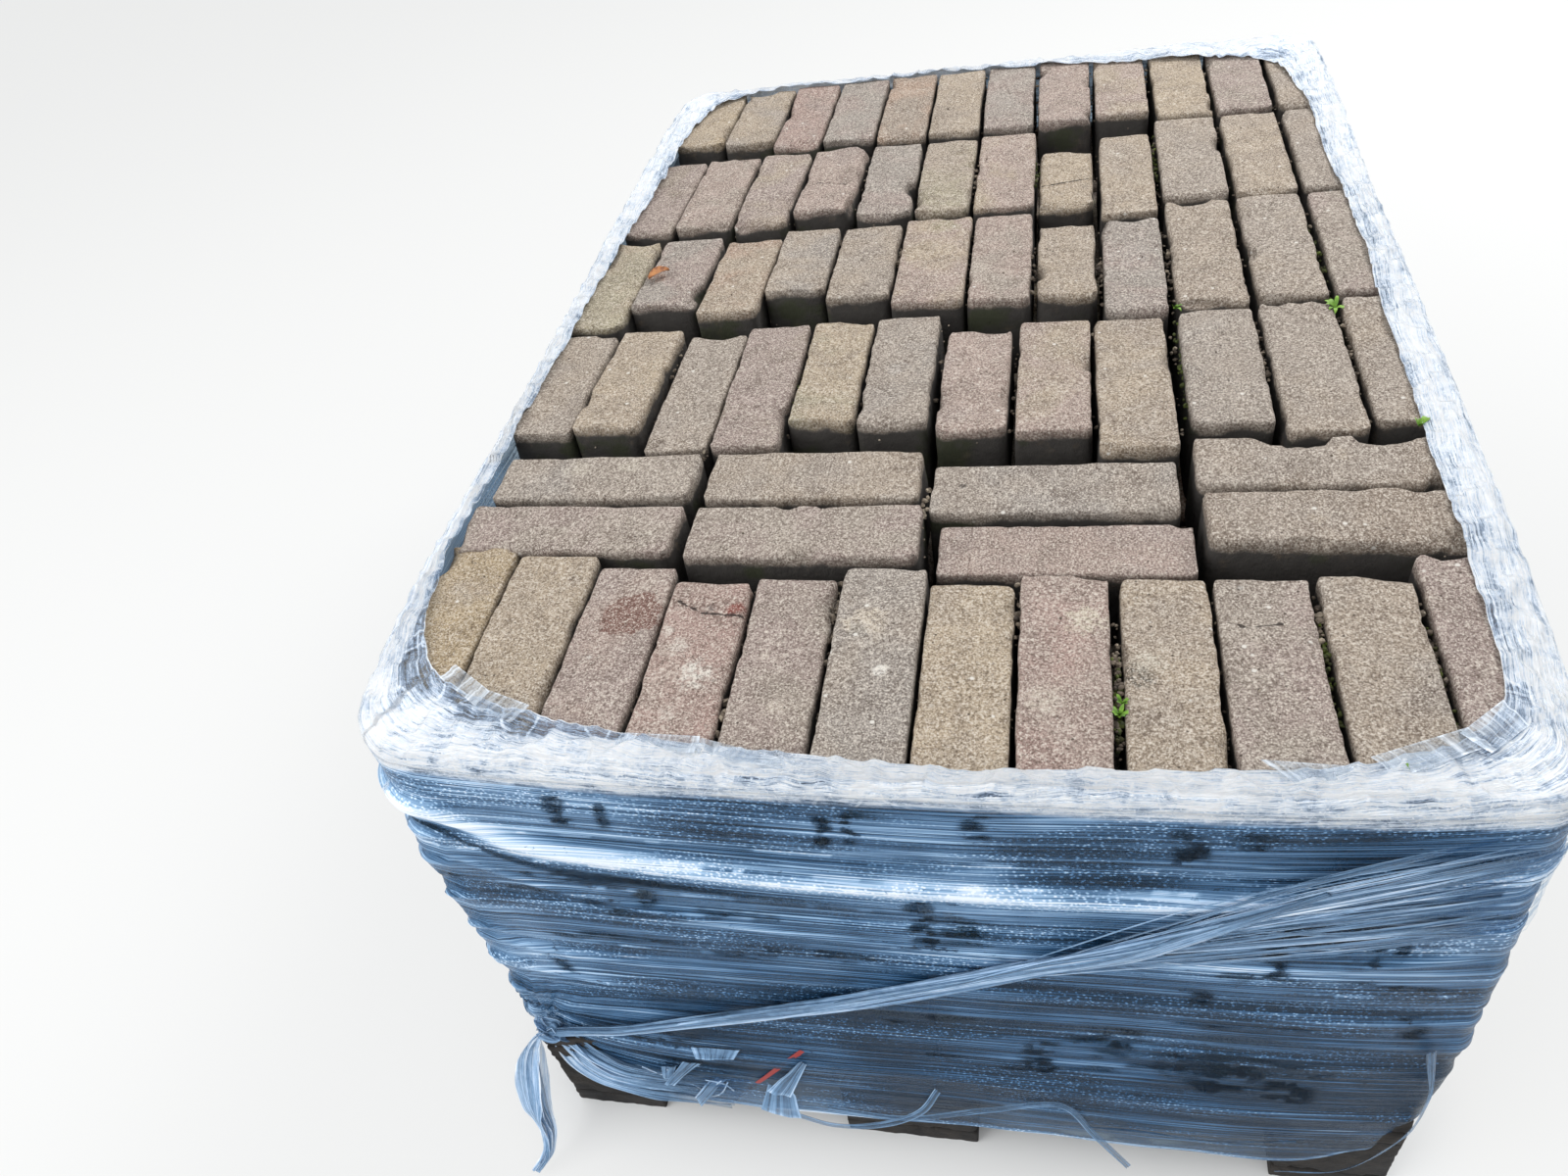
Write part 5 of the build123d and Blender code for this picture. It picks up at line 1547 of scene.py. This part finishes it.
def blades(name, plants, material, seed):
    """Small plants of a few curved blades. plants: place, count of blades, length, width."""
    rng = np.random.default_rng(seed)
    t = np.linspace(0, 1, 7)
    parts = []
    for x, y, z, count, length, width in plants:
        half = width * np.sin(np.pi * np.clip(t * 0.92 + 0.08, 0, 1)) ** 0.8
        for _ in range(count):
            turn = rng.random() * 2 * math.pi
            c, s = np.cos(turn), np.sin(turn)
            lean = 0.4 + 0.9 * rng.random()
            size = length * (0.6 + 0.6 * rng.random())
            out, high = np.sin(lean * t) * size, np.cos(lean * t * 1.3) * size * t
            edges = []
            for side in (-half, half):
                blade = [x + c * out - s * side, y + s * out + c * side, z + high + 0.0004 * t]
                edges.append(np.stack(blade, 1))
            parts.append((np.concatenate(edges), grid_quads(grid_index(2, len(t)))))
    points, faces = joined(parts)
    thing = make_object(name, in_row(points), faces, material=material)
    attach(thing, "root")


green = litter_material("weeds", [srgb(70, 110, 30), srgb(120, 160, 50), srgb(96, 136, 40)], 0.6)
blades("weeds", [
    (0.547, 0.068, -0.004, 9, 0.009, 0.0016), (0.549, 0.078, -0.004, 6, 0.007, 0.0014),
    (0.706, 0.022, 0.001, 5, 0.010, 0.0016), (0.748, 0.545, -0.003, 10, 0.012, 0.0018),
    (0.782, 0.365, 0.000, 8, 0.010, 0.0018), (0.612, 0.560, -0.004, 7, 0.008, 0.0014),
], green, 6)

leaf_look = litter_material("dry_leaf", [srgb(150, 92, 52), srgb(176, 122, 74), srgb(120, 72, 44)], 0.7)
v, w = unit_grid(11, 7, -1)
half = 0.008 * np.sin(np.pi * np.clip(v * 0.95 + 0.03, 0, 1)) ** 0.7
leaf_points = np.stack([
    0.068 + v * 0.020 - w * half * 0.5, 0.660 + v * 0.016 + w * half * 0.8,
    0.0045 + 0.004 * np.sin(v * 3) + 0.003 * w ** 2,
], -1).reshape(-1, 3)
leaf_quads = grid_quads(grid_index(*v.shape), turned=True)
leaf = make_object("dry_leaf", in_row(leaf_points), leaf_quads, material=leaf_look)
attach(leaf, "root")


# Pallet: planks and blocks with worn edges and raised grain, in weathered wood darkened further as painted
# shade under the load.
def wood_material(name, light, dark, grey):
    n = Nodes(name)
    own, place = n.attribute("own", "Vector"), n.place()
    grain = n.noise(n.vector("MULTIPLY", own, (3, 110, 110)), 1, 5, 0.62, 0.5)
    rings = n.noise(n.vector("MULTIPLY", own, (1.2, 26, 26)), 1, 3, 0.5, 1.4)
    fibre = n.noise(n.vector("MULTIPLY", own, (14, 480, 480)), 1, 3, 0.6)
    color = n.layers(n.mix(rings.steps(0.35, 0.65), light, dark), [
        (grain, 0.48, 0.66, 0.75, srgb(24, 21, 20)), (fibre, 0.55, 0.75, 0.3, srgb(88, 82, 75)),
    ])
    color = n.mix(n.noise(place, 7, 4, 0.6).steps(0.40, 0.62, 0.15, 0.8), color, grey)
    color = n.layers(color, [(n.noise(place, 19, 4, 0.65, 0.5), 0.52, 0.68, 0.7, srgb(22, 22, 24))])
    return n.surface(n.body(color, 0.82, 0.25, height=grain + fibre * 0.5, strength=0.7, depth=0.0014))


# The wood's tones are weathered grey-brown, made darker still as painted shade for the shadow under the load.
shaded_wood_look = wood_material("pallet_wood", srgb(60, 54, 48), srgb(44, 40, 36), srgb(48, 48, 49))
PLANK_EDGE = (0.0, 0.0015, 0.004, 0.007)


def plank(name, axis, seed, wear, step):
    """A worn plank or block in the place of a frame node, with its grain along an axis."""
    low, high = (np.array(corner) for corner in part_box(name))
    half = (high - low) / 2
    places = [stations(2 * half[k], step * (3 if k == axis else 0.7), PLANK_EDGE) for k in range(3)]
    where, quads = lattice_box(tuple(len(a) for a in places))
    rest = np.stack([places[k][where[:, k]] for k in range(3)], 1) - half
    s = seed * 2.3
    radius = 0.0022 * wear * (0.5 + 1.3 * noise(rest[:, 0] * 25 + s, rest[:, 1] * 25, rest[:, 2] * 25))
    p = rounded(rest, half, radius)
    along = rest[:, axis]
    others = [a for a in range(3) if a != axis]
    for a, b in (others, others[::-1]):
        near = ramp(np.abs(rest[:, a]), half[a] - 0.01, half[a])
        grooves = rough(along * 6 + s, rest[:, b] * 140, a * 5.0 + np.sign(rest[:, a]) * 2 + s) - 0.5
        worn = 0.0010 * np.maximum(grooves, 0) * 2 * wear + 0.0006 * noise(along * 12 + s, rest[:, b] * 20, a)
        p[:, a] -= np.sign(p[:, a]) * near * worn
    # Splits and frayed fibres at the ends.
    end = ramp(np.abs(along), half[axis] - 0.02, half[axis])
    fray = rough(rest[:, others[0]] * 160 + s, rest[:, others[1]] * 160, np.sign(along) * 3 + s, 2)
    p[:, axis] -= np.sign(along) * end * 0.0030 * wear * fray
    own = np.roll(rest, -axis, 1) + seed * 0.77
    thing = make_object(name + "_worn", p + (low + high) / 2, quads, {"own": own}, True, shaded_wood_look)
    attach(thing, "root")
    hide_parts(name)


ACROSS = ("left", "middle", "right")
planks = [(f"pallet_runner_{place}", 1) for place in ACROSS]
for depth_name in ("front", "centre", "back"):
    planks += [(f"pallet_block_{depth_name}_{place}", 1) for place in ACROSS]
    planks.append((f"pallet_stringer_{depth_name}", 0))
planks += [(f"pallet_deck_board_{number}", 1) for number in range(1, 6)]
for number, (name, axis) in enumerate(planks):
    plank(name, axis, number + 1, 1.3 if "block" in name else 1.0, detail(0.010, 0.007))


# Stage: floor, lights, world and camera.
def stage_floor():
    n = Nodes("floor")
    path = n.add("ShaderNodeLightPath").outputs
    plain = n.add("ShaderNodeBsdfDiffuse", {"Color": (0.72, 0.72, 0.71, 1)})
    white = n.add("ShaderNodeEmission", {"Color": (0.90, 0.90, 0.89, 1), "Strength": 1.0})
    seen = n.math("MAXIMUM", path["Is Glossy Ray"], path["Is Transmission Ray"])
    seen = n.math("MAXIMUM", path["Is Camera Ray"], seen)
    outside = n.vector("SUBTRACT", n.vector("ABSOLUTE", n.place()), (0.36, 0.56, 0))
    beside = n.vector("LENGTH", n.vector("MAXIMUM", outside, (0, 0, 0)))
    n.surface(n.over(seen * beside.steps(0.0, 0.12, 0.0, 0.70), plain, white))
    corners = [(-8, -8, 0), (8, -8, 0), (8, 8, 0), (-8, 8, 0)]
    floor = make_object("floor", corners, [(0, 1, 2, 3)], smooth=False, material=n.material)


stage_floor()


def area_light(name, at, toward, size, power):
    data = bpy.data.lights.new(name, "AREA")
    data.shape = "SQUARE"
    data.size = size
    data.energy = power
    lamp = bpy.data.objects.new(name, data)
    lamp.location = at
    lamp.rotation_euler = (Vector(toward) - Vector(at)).to_track_quat("-Z", "Y").to_euler()
    bpy.context.scene.collection.objects.link(lamp)


area_light("key", (1.6, 1.9, 2.8), (0, 0, 0.4), 1.6, 93)
area_light("fill", (-2.2, -1.8, 2.2), (0, 0, 0.3), 2.4, 63)

# The sky gives the light, and an even backdrop is what is seen of it.
world = bpy.data.worlds.new("world")
bpy.context.scene.world = world
world.use_nodes = True
nodes, links = world.node_tree.nodes, world.node_tree.links
sky, backdrop = nodes["Background"], nodes.new("ShaderNodeBackground")
for background, tone, strength in ((sky, (0.93, 0.96, 1.0, 1), 0.93), (backdrop, (0.93, 0.93, 0.93, 1), 1.0)):
    background.inputs["Color"].default_value = tone
    background.inputs["Strength"].default_value = strength
rays = nodes.new("ShaderNodeLightPath").outputs
either, both = nodes.new("ShaderNodeMath"), nodes.new("ShaderNodeMath")
either.operation = both.operation = "MAXIMUM"
choose = nodes.new("ShaderNodeMixShader")
for source, target in (
    (rays["Is Camera Ray"], either.inputs[0]), (rays["Is Glossy Ray"], either.inputs[1]),
    (either.outputs[0], both.inputs[0]), (rays["Is Transmission Ray"], both.inputs[1]),
    (both.outputs[0], choose.inputs[0]), (sky.outputs[0], choose.inputs[1]),
    (backdrop.outputs[0], choose.inputs[2]), (choose.outputs[0], nodes["World Output"].inputs["Surface"]),
):
    links.new(source, target)

camera_data = bpy.data.cameras.new("camera")
camera_data.lens = 26.75
camera_data.sensor_width = 36
camera_data.clip_start = 0.02
camera = bpy.data.objects.new("camera", camera_data)
camera.matrix_world = Matrix((
    (0.97261, -0.0032, 0.23240, 0.1033),
    (0.16813, 0.70009, -0.69398, -1.0300),
    (-0.16048, 0.71405, 0.68145, 1.1647),
    (0, 0, 0, 1),
))
bpy.context.scene.collection.objects.link(camera)
bpy.context.scene.camera = camera
bpy.context.scene.view_settings.view_transform = "Standard"
